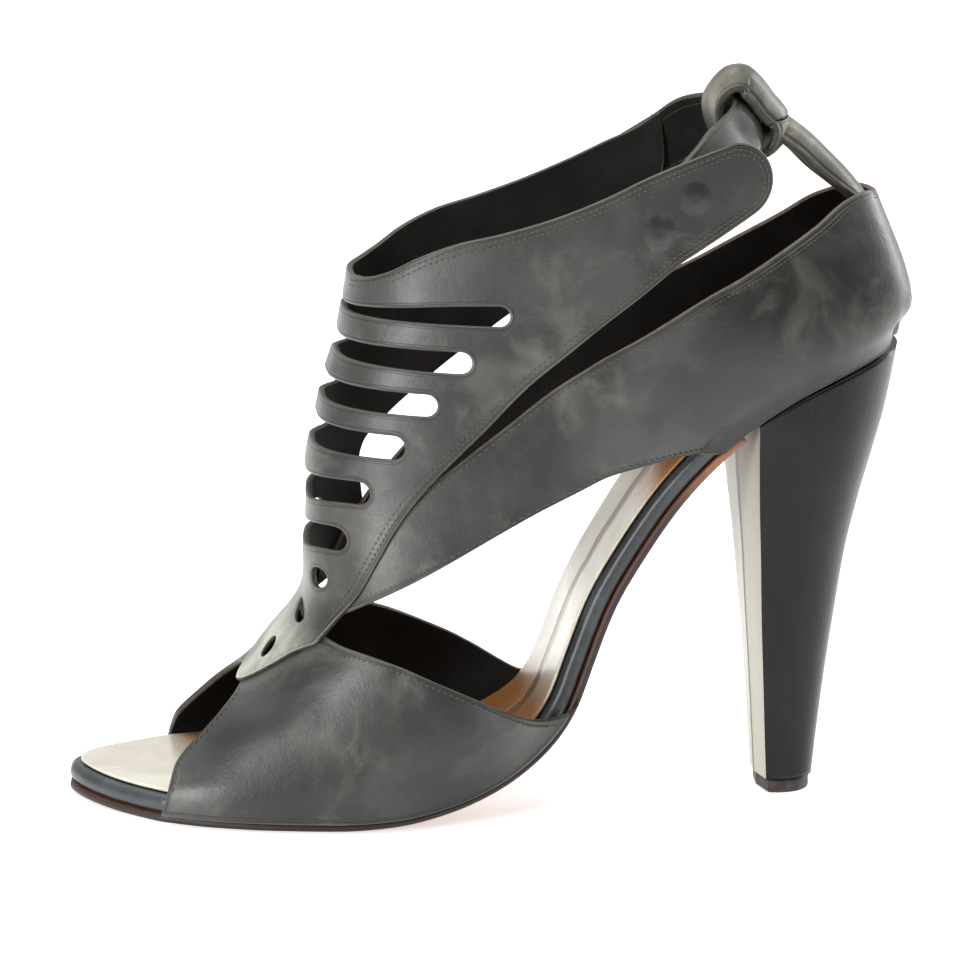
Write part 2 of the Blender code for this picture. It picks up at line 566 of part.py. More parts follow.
def heel_section(z, inset=0.0):
    """Outline x, v of the heel at height z: flat breast with a ridge, round sides and back."""
    zt = z / ZU
    half = smooth(HEEL, zt) * YU - inset
    breast, back = smooth(HEEL, zt, 2) * XU + inset, smooth(HEEL, zt, 3) * XU - inset
    side = []
    for u in HEEL_SHARES:
        swell = BREAST_NARROWING + (1 - BREAST_NARROWING) * min(u / HEEL_WIDEST, 1)
        round_off = (1 - (max(u - HEEL_WIDEST, 0) / (1 - HEEL_WIDEST)) ** HEEL_ROUNDNESS) ** 0.5
        side.append((breast + BREAST_RIDGE + u * (back - breast - BREAST_RIDGE), half * swell * round_off))
    return [(breast, 0.0)] + [(x, -v) for x, v in side] + [(back, 0.0)] + [(x, v) for x, v in side[::-1]]


def loft(name, levels, inset=0.0):
    """A solid through the heel's sections at the given heights."""
    sections = [heel_section(z, inset) for z in levels]
    count = len(sections[0])
    verts = [(x, v, z) for outline, z in zip(sections, levels) for x, v in outline]
    faces = [tuple(range(count)), tuple(range(len(verts) - 1, len(verts) - count - 1, -1))]
    for i in range(len(levels) - 1):
        for j in range(count):
            a, b = i * count + j, i * count + (j + 1) % count
            faces.append((a, b, b + count, a + count))
    return make_object(name, verts, faces)


def heel():
    """Covered heel, cut to the slope of the seat."""
    levels = [TIP_THICKNESS + GAP] + [z * ZU for z in HEEL_LEVELS]
    part = loft("heel", levels)
    outline = [(140, 76)] + seat_outline(GAP) + [(BEHIND, CLEAR_ABOVE), (140, CLEAR_ABOVE)]
    return combine(part, prism("seat", outline, -HALF_SPAN, HALF_SPAN), "DIFFERENCE")


def heel_tip():
    """Top piece that the heel stands on."""
    return loft("heel_tip", [0.0, TIP_THICKNESS], TIP_INSET)


def ribbon(name, path, half, arch, wall, closed):
    """A strap along a path of x, z, arch share, with its edges dropped below the crest."""
    count = len(path)
    if closed:
        along = np.roll(path, -1, axis=0) - np.roll(path, 1, axis=0)
    else:
        along = np.gradient(path, axis=0)
    size = np.hypot(along[:, 0], along[:, 1])
    out = np.stack([along[:, 1] / size, -along[:, 0] / size], 1)
    across = np.linspace(-1, 1, RIBBON_COLUMNS)
    grid = np.zeros((count, len(across), 3))
    fall = 1 - np.sqrt(1 - (ARCH_ROUND * across[None, :]) ** 2)
    drop = arch * path[:, 2:3] * fall / fall.max()
    grid[:, :, 0] = path[:, 0:1] - out[:, 0:1] * drop
    grid[:, :, 1] = across[None, :] * half
    grid[:, :, 2] = path[:, 1:2] - out[:, 1:2] * drop
    verts, faces = shell(grid, -wall / 2, wall / 2, closed)
    return make_object(name, verts, faces)


def back_strap():
    """Strap from inside the counter, folded round the ankle strap and sewn to itself."""
    scale = (XU, ZU, 1)
    tail_path = curve_through(np.array(TAIL, float) * scale, TAIL_STATIONS)
    loop_path = curve_through(np.array(LOOP, float) * scale, LOOP_STATIONS, closed=True)
    part = ribbon("back_strap", tail_path, TAIL_HALF_WIDTH, TAIL_ARCH, BACK_STRAP_WALL, False)
    loop = ribbon("loop", loop_path, LOOP_HALF_WIDTH, TAIL_ARCH, BACK_STRAP_WALL, True)
    return combine(part, loop, "UNION")


# Colour, roughness and metallic value of each piece
FINISH = {
    "outsole": ((0.20, 0.085, 0.045), 0.55, 0.0),
    "insole_board": ((0.045, 0.055, 0.062), 0.45, 0.0),
    "sock_lining": ((0.62, 0.50, 0.30), 0.25, 0.6),
    "upper": ((0.060, 0.062, 0.060), 0.42, 0.0),
    "back_strap": ((0.075, 0.073, 0.060), 0.40, 0.0),
    "heel": ((0.030, 0.032, 0.034), 0.30, 0.0),
    "heel_tip": ((0.022, 0.016, 0.013), 0.50, 0.0),
}


def finish(part, name):
    """Names a piece, swings it to the foot's curve and gives it its material."""
    part.name = part.data.name = name
    made = bmesh.new()
    made.from_mesh(part.data)
    bmesh.ops.remove_doubles(made, verts=made.verts, dist=1e-6)
    bmesh.ops.triangulate(made, faces=made.faces)
    for vert in made.verts:
        x, v = vert.co.x, vert.co.y
        vert.co.x, vert.co.y = x - swing_slope(x) * v, swing(x) + v
    made.to_mesh(part.data)
    made.free()
    colour, roughness, metallic = FINISH[name]
    material = bpy.data.materials.new(name)
    material.use_nodes = True
    shader = material.node_tree.nodes["Principled BSDF"]
    shader.inputs["Base Color"].default_value = (*colour, 1)
    shader.inputs["Roughness"].default_value = roughness
    shader.inputs["Metallic"].default_value = metallic
    part.data.materials.clear()
    part.data.materials.append(material)
    part.data.shade_smooth()
    part.data.set_sharp_from_angle(angle=math.radians(35))
    return part


def swing(x):
    """How far the foot's centre line lies to the medial side at x."""
    return BOW * ((x - SWING_MIDDLE) / (SHOE_LENGTH / 2)) ** 2


def swing_slope(x):
    """Slope of the centre line at x."""
    return 2 * BOW * (x - SWING_MIDDLE) / (SHOE_LENGTH / 2) ** 2


def main():
    for old in list(bpy.data.objects):
        bpy.data.objects.remove(old)
    sock_low = BOARD_THICKNESS + GAP
    parts = {
        "outsole": slab(
            "outsole", *OUTSOLE_FROM_TO, -GAP - OUTSOLE_THICKNESS, -GAP, GAP, SOLE_STATIONS[0]),
        "insole_board": slab("insole_board", *BOARD_FROM_TO, 0, BOARD_THICKNESS, 0, SOLE_STATIONS[1]),
        "sock_lining": slab(
            "sock_lining", *SOCK_FROM_TO, sock_low, sock_low + SOCK_THICKNESS, SOCK_INSET, SOLE_STATIONS[2]),
        "heel": heel(),
        "heel_tip": heel_tip(),
        "upper": upper(),
        "back_strap": back_strap(),
    }
    made = [finish(part, name) for name, part in parts.items()]
    low = np.min([np.min([v.co[:] for v in part.data.vertices], axis=0) for part in made], axis=0)
    high = np.max([np.max([v.co[:] for v in part.data.vertices], axis=0) for part in made], axis=0)
    middle = (low + high) / 2
    for part in made:
        for vert in part.data.vertices:
            vert.co = (vert.co.x - middle[0], vert.co.y - middle[1], vert.co.z - low[2])


main()
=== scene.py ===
import math

import bmesh
import bpy
import numpy as np
from mathutils import Matrix, Vector
from mathutils.geometry import delaunay_2d_cdt


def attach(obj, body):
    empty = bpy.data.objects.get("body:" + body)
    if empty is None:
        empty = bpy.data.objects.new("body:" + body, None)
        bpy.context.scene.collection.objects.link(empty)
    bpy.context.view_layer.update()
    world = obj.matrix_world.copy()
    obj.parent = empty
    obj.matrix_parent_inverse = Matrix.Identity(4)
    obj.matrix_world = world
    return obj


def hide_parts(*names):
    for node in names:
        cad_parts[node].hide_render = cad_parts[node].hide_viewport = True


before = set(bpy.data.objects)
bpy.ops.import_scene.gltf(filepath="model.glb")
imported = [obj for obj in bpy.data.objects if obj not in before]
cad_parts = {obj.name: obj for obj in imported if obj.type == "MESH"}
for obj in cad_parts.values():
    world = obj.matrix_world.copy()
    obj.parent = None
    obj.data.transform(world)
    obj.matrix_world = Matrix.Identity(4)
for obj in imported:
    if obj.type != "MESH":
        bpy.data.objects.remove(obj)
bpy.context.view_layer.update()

# The last is described straight along X in millimetres: x from the toe, v to the medial side and z up.
# place() swings it to the foot's curve and moves it to the frame, in metres.
MM = 0.001
SHOE_LENGTH = 205.0
BOW = 5.3                  # how far toe and heel swing to the medial side
SWING_MIDDLE = 93.5
ORIGIN = (-102.386, -0.163)     # where the last's x and v start in the frame
GAP = 0.3
BOARD = 4.6                # insole board with its leather wrap
SOCK = 0.8
SOCK_INSET = 2.3
OUTSOLE = 1.8
WALL = 1.6                 # lined leather
LAYER = 1.2                # how far the T-strap lies outside vamp and quarter
BAND_WALL = 1.8
BAND_BULGE = 1.9           # how far the ankle strap bulges inside the loop
BACK_STRAP_WALL = 2.2
TIP = 3.4
EDGE_ROUND = 0.5           # radius of a cut edge
EDGE_RINGS = (0.14, 0.36, 0.8, 1.5)     # rows of points inside a pattern's edge
BED_STEP = 0.25
BOARD_SPAN = (0.3, 198.2)
OUTSOLE_END = 159.4
SEAT_FROM = 156.5          # where the quarter's lower edge starts to follow the seat
STITCH_PITCH = 1.35
STITCH_LENGTH = 0.72       # share of the pitch
STITCH_RADIUS = 0.17
STITCH_SIDES = 6
STRAP_ROWS = (1.5, 2.6)    # stitch rows of the T-strap, from its edge
STRAP_SEWN = (47, 6)       # they start at this z, and this far from the crown
QUARTER_ROWS = (1.9, 1.6)  # stitch rows of the quarter's top and bottom
QUARTER_PITCH = 1.3
QUARTER_SEWN = (66, 152)   # x where they run
VAMP_ROW = 1.5
VAMP_OFF_CROWN = (-13, 30)
VAMP_SEWN_TO = 5.5         # above the vamp's lower edge
BAND_ROW = 1.9

BED = [
    (0, 3.7), (14, 2.5), (30, 2.1), (65, 2.1), (78, 3.0), (90, 5.4), (100, 8.8), (108.5, 13.6), (115.5, 19.8),
    (119.5, 26), (123.5, 37), (128.5, 50.5), (135, 62.5), (144, 76.5), (152, 86.3), (161, 94.8), (173.5, 103),
    (186, 108.3), (198.5, 112.4),
]
BOARD_HALF_WIDTH = [
    (22.7, 27.6), (35, 32.3), (50, 35.2), (65, 36), (76, 35.4), (90, 32), (101, 27.5), (110, 23.5), (118, 20),
    (124, 18.3), (131, 17.5), (142, 18), (152, 19.8), (161, 21.4), (170, 22), (174, 22),
]
NOSE = (22.7, 0.57)
SEAT_ROUND = (174, 24.5)
FRONT = [
    (0, -12), (6, 3), (12, 17), (18, 25.5), (24, 33.3), (31, 44.2), (36, 48), (41, 53.2), (46, 57.2),
    (52, 59.2), (84, 59.5), (100, 62.8), (120, 67.6), (135, 69.5), (180, 73),
]
BACK_MEDIAL = [(0, 150), (60, 152), (75, 158), (90, 163), (110, 164), (180, 162)]
BACK_LATERAL = [(0, 150), (60, 152), (75, 160), (90, 170), (110, 178), (180, 180)]
BACK_QUARTER = [
    (0, 150), (60, 152), (75, 165), (90, 182), (100, 192), (110, 199.2), (116, 201.8), (122, 203),
    (130, 201.2), (138, 198), (145, 195), (152, 192), (160, 188),
]
GIRTH = [
    (0, 38, 0.60), (14, 37.5, 0.60), (30, 35.5, 0.60), (43, 33.5, 0.64), (53, 31.5, 0.67), (74, 29.5, 0.70),
    (90, 29, 0.68), (110, 28.5, 0.64), (130, 27.5, 0.68), (180, 26, 0.72),
]
FEATHER_RISE = 9.0
FEATHER_SPARE = 1.0
FEATHER_BLEND = 0.6
TOPLINE_LEAN = 0.27
LEAN_X = (125, 170)
LEAN_Z = (115, 30)
LEAN_MOST = 1.3
TOPLINE_TILT = 0.09
TILT_X = (90, 150)

PEEP_EDGE = [
    (22.8, -2), (23.2, 2), (24, 5), (25, 9), (26.4, 13), (29, 16.3), (32, 19.3), (35, 22.3), (38, 25.3),
    (41, 28.3), (43.5, 31.2), (46.5, 35.5), (49, 40),
]
THROAT_EDGE = [
    (54, 49), (58, 46), (64, 43.3), (71, 41.6), (78, 39.6), (85, 36.8), (91, 34.3), (97, 31.7), (103, 28.9),
    (109, 26.2), (113, 25), (118, 25.4), (121, 26.4),
]
STRAP_EDGE = [
    (58.4, 43.6), (62.5, 48.6), (67.6, 55), (72.6, 64.5), (77, 73), (82, 80.5), (89, 88.8), (97.2, 97.6),
    (106.2, 107.4), (115, 115), (124.5, 122.8), (133.4, 129.8),
]
MEDIAL_EDGE = [
    (66.5, 55), (70.6, 61), (72.3, 67.4), (71.8, 72), (71, 77.5), (72.2, 83), (77.5, 88.8), (88, 97.6),
    (101, 107.4), (111.5, 115), (122.5, 122.8), (133.4, 131),
]
# The strap's tip as length round the last and z, on the lateral and the medial side
TONGUE = {
    -1: [(-9, 29.3), (-11.5, 30.0), (-13.5, 31.5), (-15.5, 33.7), (-17.6, 36.2), (-19, 38.6)],
    1: [(-9, 29.3), (-5.5, 29.8), (0, 31.4), (5, 34), (9, 38), (14, 42), (20, 46), (25.5, 50.4)],
}
COLLAR_EDGE = [
    (124, 153), (112, 148), (99.8, 144), (89, 141), (80.7, 137.3), (73.5, 133), (69.2, 131.2), (66, 130.6),
]
TAB_EDGE = [(133.4, 129.8), (142, 137)]
TAB_ROUND = (154.9, 156.0, 9.3, -57, 96)
TAB_TOP = [(145, 162.2), (133.4, 157.6)]
WING_EDGE = [(133.4, 131), (141, 140), (147, 148.5), (147, 166), (141.5, 161.6), (133.4, 157.6)]
THROAT_TOP = 57            # height of the vamp's surface ahead of the throat
THROAT_SPARE = 3           # how far it goes on over the throat
THROAT_LID = 12            # and the height over which it closes
CREST_END = 56             # behind this x the girth over the foot grows slowly
QUARTER_TOP = [
    (60.6, 52.8), (63, 54.2), (66, 59), (70.6, 66.2), (77, 74.9), (83, 81.8), (91.6, 89.2), (101.6, 97.2),
    (113.4, 106.4), (123.4, 112.3), (133.4, 117.6), (148, 126), (157.5, 131), (167.5, 137), (176.5, 142.6),
    (184, 147.8), (190, 150), (196, 150.3),
]
QUARTER_BOTTOM = [
    (60.6, 48.6), (65.5, 51), (71.5, 54.4), (80.5, 59.5), (89.5, 65), (99.5, 71.2), (111.5, 78.2),
    (120.5, 82.6), (128.5, 85.6), (137.5, 87.6), (147, 88.6), (153.5, 88.7),
]
# Slots: x of the lateral and of the medial round end, z there and in front, height there and in front
SLOTS = [
    (102, 70.4, 124.3, 122.4, 4.8, 1.2), (93.4, 69, 113, 113.2, 5.1, 3.8),
    (85.6, 66.4, 102.5, 102.6, 5.2, 5.0), (78.3, 63.8, 92, 92, 5.6, 5.6),
    (70.5, 61.2, 80.3, 78.6, 5.3, 6.2), (65.4, 61.2, 68.4, 66.6, 5.6, 6.0),
]
# Holes of the tongue: length round the last, z, half length, half height and slant in degrees
EYES = [(-14.2, 57.7, 3.4, 2.4, 0), (-8.3, 47.2, 5.2, 2.0, 20), (-8, 37.4, 3.8, 1.8, 14)]
BAND = [
    (28.4, 133, 156.5, 136, 140), (27.6, 138.5, 160, 144.5, 145.5), (25.6, 144, 163.8, 153, 150.6),
    (20.5, 149.5, 168.8, 160.4, 156), (13, 155.2, 171.4, 163.8, 159.8), (8, 157.4, 172.2, 164.6, 161.8),
    (0, 158.2, 172.8, 165.4, 163.4), (-8, 157.2, 171.7, 164.2, 161.2), (-13, 154.0, 169.7, 162.4, 158),
    (-18, 149.4, 167.2, 159.8, 154.6), (-22, 145.6, 163.6, 154.6, 150), (-25.4, 140.6, 159.4, 148, 145.6),
    (-27.6, 135.6, 155.4, 142, 141.5), (-28.9, 130, 150.4, 136, 137),
]
TAIL = [
    (196.6, 137.5, 0.25), (194.8, 142, 0.3), (192.2, 147.6, 0.45), (187.8, 153.2, 0.8), (182.6, 158.4, 1),
    (177.8, 162.9, 1), (173.4, 166.2, 1), (169.6, 168.6, 1),
]
LOOP = [
    (171.8, 168.2, 1.1), (168.4, 172.6, 1.2), (165.2, 176.6, 1.2), (161.6, 179.3, 1.15), (157.9, 178.7, 0.95),
    (155.4, 176, 0.45), (154.2, 171.8, 0.05), (154.6, 166.9, 0), (156.8, 162.4, 0), (159.6, 159.8, 0),
    (163.4, 158.4, 0.1), (168.2, 159.4, 0.5), (171.4, 163.2, 0.8),
]
TAIL_HALF_WIDTH = 6.6
LOOP_HALF_WIDTH = 8.0
TAIL_ARCH = 5.2
ARCH_ROUND = 0.93
HEEL = [
    (0, 8.8, 169.7, 183.6), (12, 9.5, 168.8, 184.6), (30, 11.2, 167.4, 186.4), (46, 13.4, 166, 188.3),
    (61, 16, 164.8, 190.3), (74, 18.9, 163.5, 193), (86, 22, 162.4, 196), (97, 23.9, 161.7, 198.7),
    (110, 24.4, 161.3, 201), (122, 24.4, 161, 202.5),
]
BREAST_RIDGE = 1.2
BREAST_NARROWING = 0.94
BREAST_CORNER = 0.6
HEEL_WIDEST = 0.2
HEEL_ROUNDNESS = 2.3
SEAT_SLOPE = 0.33          # of the seat behind the board
TIP_INSET = 0.4


def hermite(y, tangent, i, t, size):
    """Cubic between points i and i + 1, size apart, at share t."""
    return (
        y[i] * (1 + 2 * t) * (1 - t) ** 2 + size * tangent[i] * t * (1 - t) ** 2
        + y[i + 1] * t * t * (3 - 2 * t) + size * tangent[i + 1] * t * t * (t - 1)
    )


def run_length(points):
    """Length along a line up to each of its points."""
    return np.concatenate([[0], np.cumsum(np.linalg.norm(np.diff(points, axis=0), axis=1))])


def run_over(x, y):
    """Length along a line, given as two rows of coordinates, up to each of its points."""
    return np.concatenate([[0], np.cumsum(np.hypot(np.diff(x), np.diff(y)))])


def smooth(rows, at, column=1):
    """Monotone cubic through column of a table's rows, at values of its first column."""
    x, y = np.array([(row[0], row[column]) for row in rows], float).T
    step = np.diff(x)
    slope = np.diff(y) / step
    tangent = np.zeros(len(x))
    tangent[0], tangent[-1] = slope[0], slope[-1]
    for i in range(1, len(x) - 1):
        if slope[i - 1] * slope[i] > 0:
            a, b = 2 * step[i] + step[i - 1], step[i] + 2 * step[i - 1]
            tangent[i] = (a + b) / (a / slope[i - 1] + b / slope[i])
    at = np.clip(np.asarray(at, float), x[0], x[-1])
    i = np.clip(np.searchsorted(x, at) - 1, 0, len(x) - 2)
    return hermite(y, tangent, i, (at - x[i]) / step[i], step[i])


def eased(value, spread, step):
    """Values a step apart, blurred over a spread, with their ends carried straight on."""
    count = int(4 * spread / step)
    kernel = np.exp(-0.5 * (np.arange(-count, count + 1) * step / spread) ** 2)
    ends = [2 * value[0] - value[count:0:-1], value, 2 * value[-1] - value[-2:-count - 2:-1]]
    return np.convolve(np.concatenate(ends), kernel / kernel.sum(), mode="valid")


def softened(rows, column=1, spread=3.0):
    """A table's curve without the kinks between its rows, as fine values to interpolate."""
    step = 0.5
    fine = np.arange(rows[0][0], rows[-1][0] + step, step)
    return fine, eased(smooth(rows, fine, column), spread, step)


def read(curve, at):
    """Value of a softened curve."""
    return np.interp(at, curve[0], curve[1])


FRONT_LINE = softened(FRONT, spread=2.5)
GIRTH_LINE = softened(GIRTH, spread=5)
POWER_LINE = softened(GIRTH, 2, spread=5)
BACK_LINES = {
    "medial": softened(BACK_MEDIAL, spread=5),
    "lateral": softened(BACK_LATERAL, spread=5),
    "quarter": softened(BACK_QUARTER, spread=2.5),
}


def curve_through(points, step, closed=False):
    """Points about step apart along a smooth curve through the given ones."""
    points = np.array(points, float)
    if closed:
        points = np.vstack([points[-2:], points, points[:3]])
    chord = run_length(points[:, :2])
    first, last = (chord[2], chord[-3]) if closed else (chord[0], chord[-1])
    at = np.linspace(first, last, max(3, int((last - first) / step) + 1), endpoint=not closed)
    tangent = np.gradient(points, chord, axis=0)
    i = np.clip(np.searchsorted(chord, at, side="right") - 1, 0, len(chord) - 2)
    size = (chord[i + 1] - chord[i])[:, None]
    return hermite(points, tangent, i, ((at - chord[i])[:, None]) / size, size)


def bed_line(at_x):
    """z of the board's underside at x, and the z part of its upward normal."""
    x, z = np.array(BED, float).T
    chord = run_over(x, z)
    fine = np.arange(0, chord[-1], BED_STEP)
    fx, fz = (eased(smooth(list(zip(chord, values)), fine), 2.5, BED_STEP) for values in (x, z))
    dx, dz = np.gradient(fx), np.gradient(fz)
    return [np.interp(at_x, fx, value) for value in (fz, dx / np.hypot(dx, dz))]


BED_X = np.arange(0, 199, BED_STEP)
BED_Z, BED_NZ = bed_line(BED_X)


def board_half_width(x):
    """Half width of the insole board at x."""
    x = np.asarray(x, float)
    nose_end, power = NOSE
    seat, length = SEAT_ROUND
    nose = BOARD_HALF_WIDTH[0][1] * (np.clip(x, 0, nose_end) / nose_end) ** power
    seat_round = np.sqrt(np.clip(1 - (np.clip(x - seat, 0, length) / length) ** 2, 0, 1))
    return np.where(x < nose_end, nose, smooth(BOARD_HALF_WIDTH, x) * seat_round)


def half_width(x, z, back):
    """Half width of the last at x and z."""
    front, rear = read(FRONT_LINE, z), read(BACK_LINES[back], z)
    girth, power = read(GIRTH_LINE, z), read(POWER_LINE, z)
    if back == "quarter":
        grown = np.clip((x - LEAN_X[0]) / (LEAN_X[1] - LEAN_X[0]), 0, 1)
        grown = grown * grown * (3 - 2 * grown)
        rise = np.clip((z - LEAN_Z[0]) / LEAN_Z[1], 0, LEAN_MOST)
        girth = girth * (1 - TOPLINE_LEAN * grown * rise ** 2)
    reach = (rear - front) / 2
    cosine = np.clip((front + reach - x) / reach, -1, 1)
    free = girth * (1 - cosine ** 2) ** (power / 2)
    floor, slope = np.interp(x, BED_X, BED_Z), np.interp(x, BED_X, BED_NZ)
    seat = board_half_width(x) + GAP
    above = (z - floor) * slope - BOARD
    swell = (girth + FEATHER_SPARE - seat) * (1 - np.exp(-np.clip(above, 0, None) / FEATHER_RISE))
    held = seat + np.clip(swell, 0, None)
    eased = (free + held - np.sqrt((free - held) ** 2 + 4 * FEATHER_BLEND ** 2) + FEATHER_BLEND) / 2
    return np.minimum(eased, free)


def swing(x):
    """How far the foot's centre line lies to the medial side at x."""
    return BOW * ((x - SWING_MIDDLE) / (SHOE_LENGTH / 2)) ** 2


def place(points):
    """Points of the straight last, in mm, to the frame, in metres."""
    points = np.asarray(points, float)
    x, v, z = points[..., 0], points[..., 1], points[..., 2]
    slope = 2 * BOW * (x - SWING_MIDDLE) / (SHOE_LENGTH / 2) ** 2
    return np.stack([x - slope * v + ORIGIN[0], swing(x) + v + ORIGIN[1], z], -1) * MM


class Surface:
    """A piece of the last over a grid of two lengths: points, and normals out of the shoe.

    lead is the column of a flat pattern that holds the first length.
    """

    def __init__(self, first, second, points, flip=False, lead=1):
        self.first, self.second, self.points, self.lead = first, second, points, lead
        normals = np.cross(np.gradient(points, axis=0), np.gradient(points, axis=1))
        normals /= np.maximum(np.linalg.norm(normals, axis=2, keepdims=True), 1e-9)
        self.normals = -normals if flip else normals

    def read(self, values, flat):
        """Bilinear value of a grid at points of a flat pattern."""
        i = (flat[:, self.lead] - self.first[0]) / (self.first[1] - self.first[0])
        j = (flat[:, 1 - self.lead] - self.second[0]) / (self.second[1] - self.second[0])
        i0 = np.clip(np.floor(i).astype(int), 0, len(self.first) - 2)
        j0 = np.clip(np.floor(j).astype(int), 0, len(self.second) - 2)
        a, b = np.clip(i - i0, 0, 1)[:, None], np.clip(j - j0, 0, 1)[:, None]
        return (
            values[i0, j0] * (1 - a) * (1 - b) + values[i0 + 1, j0] * a * (1 - b)
            + values[i0, j0 + 1] * (1 - a) * b + values[i0 + 1, j0 + 1] * a * b
        )

    def at(self, flat, height):
        """Points at a height above the surface, and their normals."""
        normal = self.read(self.normals, flat)
        normal /= np.maximum(np.linalg.norm(normal, axis=1, keepdims=True), 1e-9)
        return self.read(self.points, flat) + normal * np.asarray(height)[:, None], normal


def section(z, back, reach, from_back=False):
    """Points x, v round the last at height z, a millimetre apart from the front or back line."""
    front, rear = read(FRONT_LINE, z), read(BACK_LINES[back], z)
    turn = np.linspace(0, math.pi, 900)
    x = (front + rear) / 2 - (rear - front) / 2 * np.cos(turn)
    v = half_width(x, np.full_like(x, z), back)
    v[0] = v[-1] = 0
    if from_back:
        x, v = x[::-1], v[::-1]
    length = run_over(x, v)
    at = np.arange(reach + 1)
    return np.interp(at, length, x), np.interp(at, length, v)


def blur_rows(points, times, ends, first=0):
    """Blurs a grid from row to row, apart from the rows at its ends and the coordinates before first."""
    kernel = np.array([1, 4, 6, 4, 1]) / 16
    for _ in range(times):
        padded = np.concatenate([points[:1], points[:1], points, points[-1:], points[-1:]])
        blurred = sum(kernel[k] * padded[k:k + len(points)] for k in range(5))
        points[ends:-ends, :, first:] = blurred[ends:-ends, :, first:]


def side_surface(z_values, near_back, far_back, reach, from_back=False):
    """Surface over z and the length round the last, negative on the lateral side."""
    rows = []
    for z in z_values:
        x_near, v_near = section(z, near_back, reach, from_back)
        x_far, v_far = section(z, far_back, reach, from_back)
        x = np.concatenate([x_near[::-1], x_far[1:]])
        v = np.concatenate([-v_near[::-1], v_far[1:]])
        rows.append(np.stack([x, v, np.full_like(x, z)], 1))
    points = np.array(rows)
    blur_rows(points, 3, 2)
    return Surface(z_values, np.arange(-reach, reach + 1), points, flip=from_back)


def round_length(surface, x, z, side, height, from_back=False):
    """Length round the last and row of the points whose face, height above it, shows at x, z from one side.

    side is -1 for lateral and 1 for medial.
    """
    reach = int(surface.second[-1])
    face = surface.points + surface.normals * height
    half = face[:, reach::-1] if side < 0 else face[:, reach:]
    order = -half[:, :, 0] if from_back else half[:, :, 0]
    found = []
    for px, pz in zip(np.atleast_1d(x), np.atleast_1d(z)):
        row, length = pz, 0.0
        for _ in range(6):
            i = (row - surface.first[0]) / (surface.first[1] - surface.first[0])
            i = np.clip(i, 0, len(half) - 1.001)
            i0, t = int(i), i - int(i)
            line = np.maximum.accumulate(order[i0] * (1 - t) + order[i0 + 1] * t)
            last = np.argmax(line >= line.max() - 0.01)
            length = np.interp(-px if from_back else px, line[:last + 1], np.arange(last + 1))
            level = np.interp(length, np.arange(reach + 1), half[i0, :, 2] * (1 - t) + half[i0 + 1, :, 2] * t)
            row += pz - level
        found.append((side * length, row))
    return np.array(found)


def spaced(loop, step):
    """A closed outline with its points about step apart."""
    ring = np.vstack([loop, loop[:1]])
    length = run_length(ring)
    at = np.linspace(0, length[-1], int(length[-1] / step) + 1)[:-1]
    return np.stack([np.interp(at, length, ring[:, k]) for k in range(2)], 1)


def signed_area(loop):
    x, y = loop[:, 0], loop[:, 1]
    return 0.5 * np.sum(x * np.roll(y, -1) - np.roll(x, -1) * y)


def inset(loop, distance):
    """An outline moved to its left by a distance."""
    before, after = loop - np.roll(loop, 1, 0), np.roll(loop, -1, 0) - loop
    before /= np.maximum(np.linalg.norm(before, axis=1, keepdims=True), 1e-9)
    after /= np.maximum(np.linalg.norm(after, axis=1, keepdims=True), 1e-9)
    left = np.stack([-before[:, 1] - after[:, 1], before[:, 0] + after[:, 0]], 1)
    left /= np.maximum(np.linalg.norm(left, axis=1, keepdims=True), 1e-9)
    mitre = np.clip(np.sum(left * np.stack([-before[:, 1], before[:, 0]], 1), 1), 0.6, 1)
    return loop + left * (distance / mitre)[:, None]


def segment_distance(points, loops):
    """Distance from each point to the nearest outline."""
    starts = np.vstack(loops)
    ends = np.vstack([np.roll(loop, -1, 0) for loop in loops])
    along = ends - starts
    size = np.maximum(np.sum(along ** 2, 1), 1e-12)
    found = []
    for k in range(0, len(points), 1500):
        block = points[k:k + 1500, None, :] - starts[None]
        t = np.clip(np.sum(block * along[None], 2) / size, 0, 1)
        found.append(np.sqrt(np.min(np.sum((block - t[..., None] * along[None]) ** 2, 2), 1)))
    return np.concatenate(found)


def inside(points, loops):
    """Whether each point lies inside the outlines, counted even and odd."""
    odd = np.zeros(len(points), bool)
    for loop in loops:
        x1, y1 = loop[:, 0], loop[:, 1]
        x2, y2 = np.roll(x1, -1), np.roll(y1, -1)
        for k in range(0, len(points), 3000):
            px, py = points[k:k + 3000, 0:1], points[k:k + 3000, 1:2]
            crosses = (y1 > py) != (y2 > py)
            with np.errstate(divide="ignore", invalid="ignore"):
                reach = x1 + (py - y1) / (y2 - y1) * (x2 - x1)
            odd[k:k + 3000] ^= (np.sum(crosses & (px < reach), 1) % 2).astype(bool)
    return odd


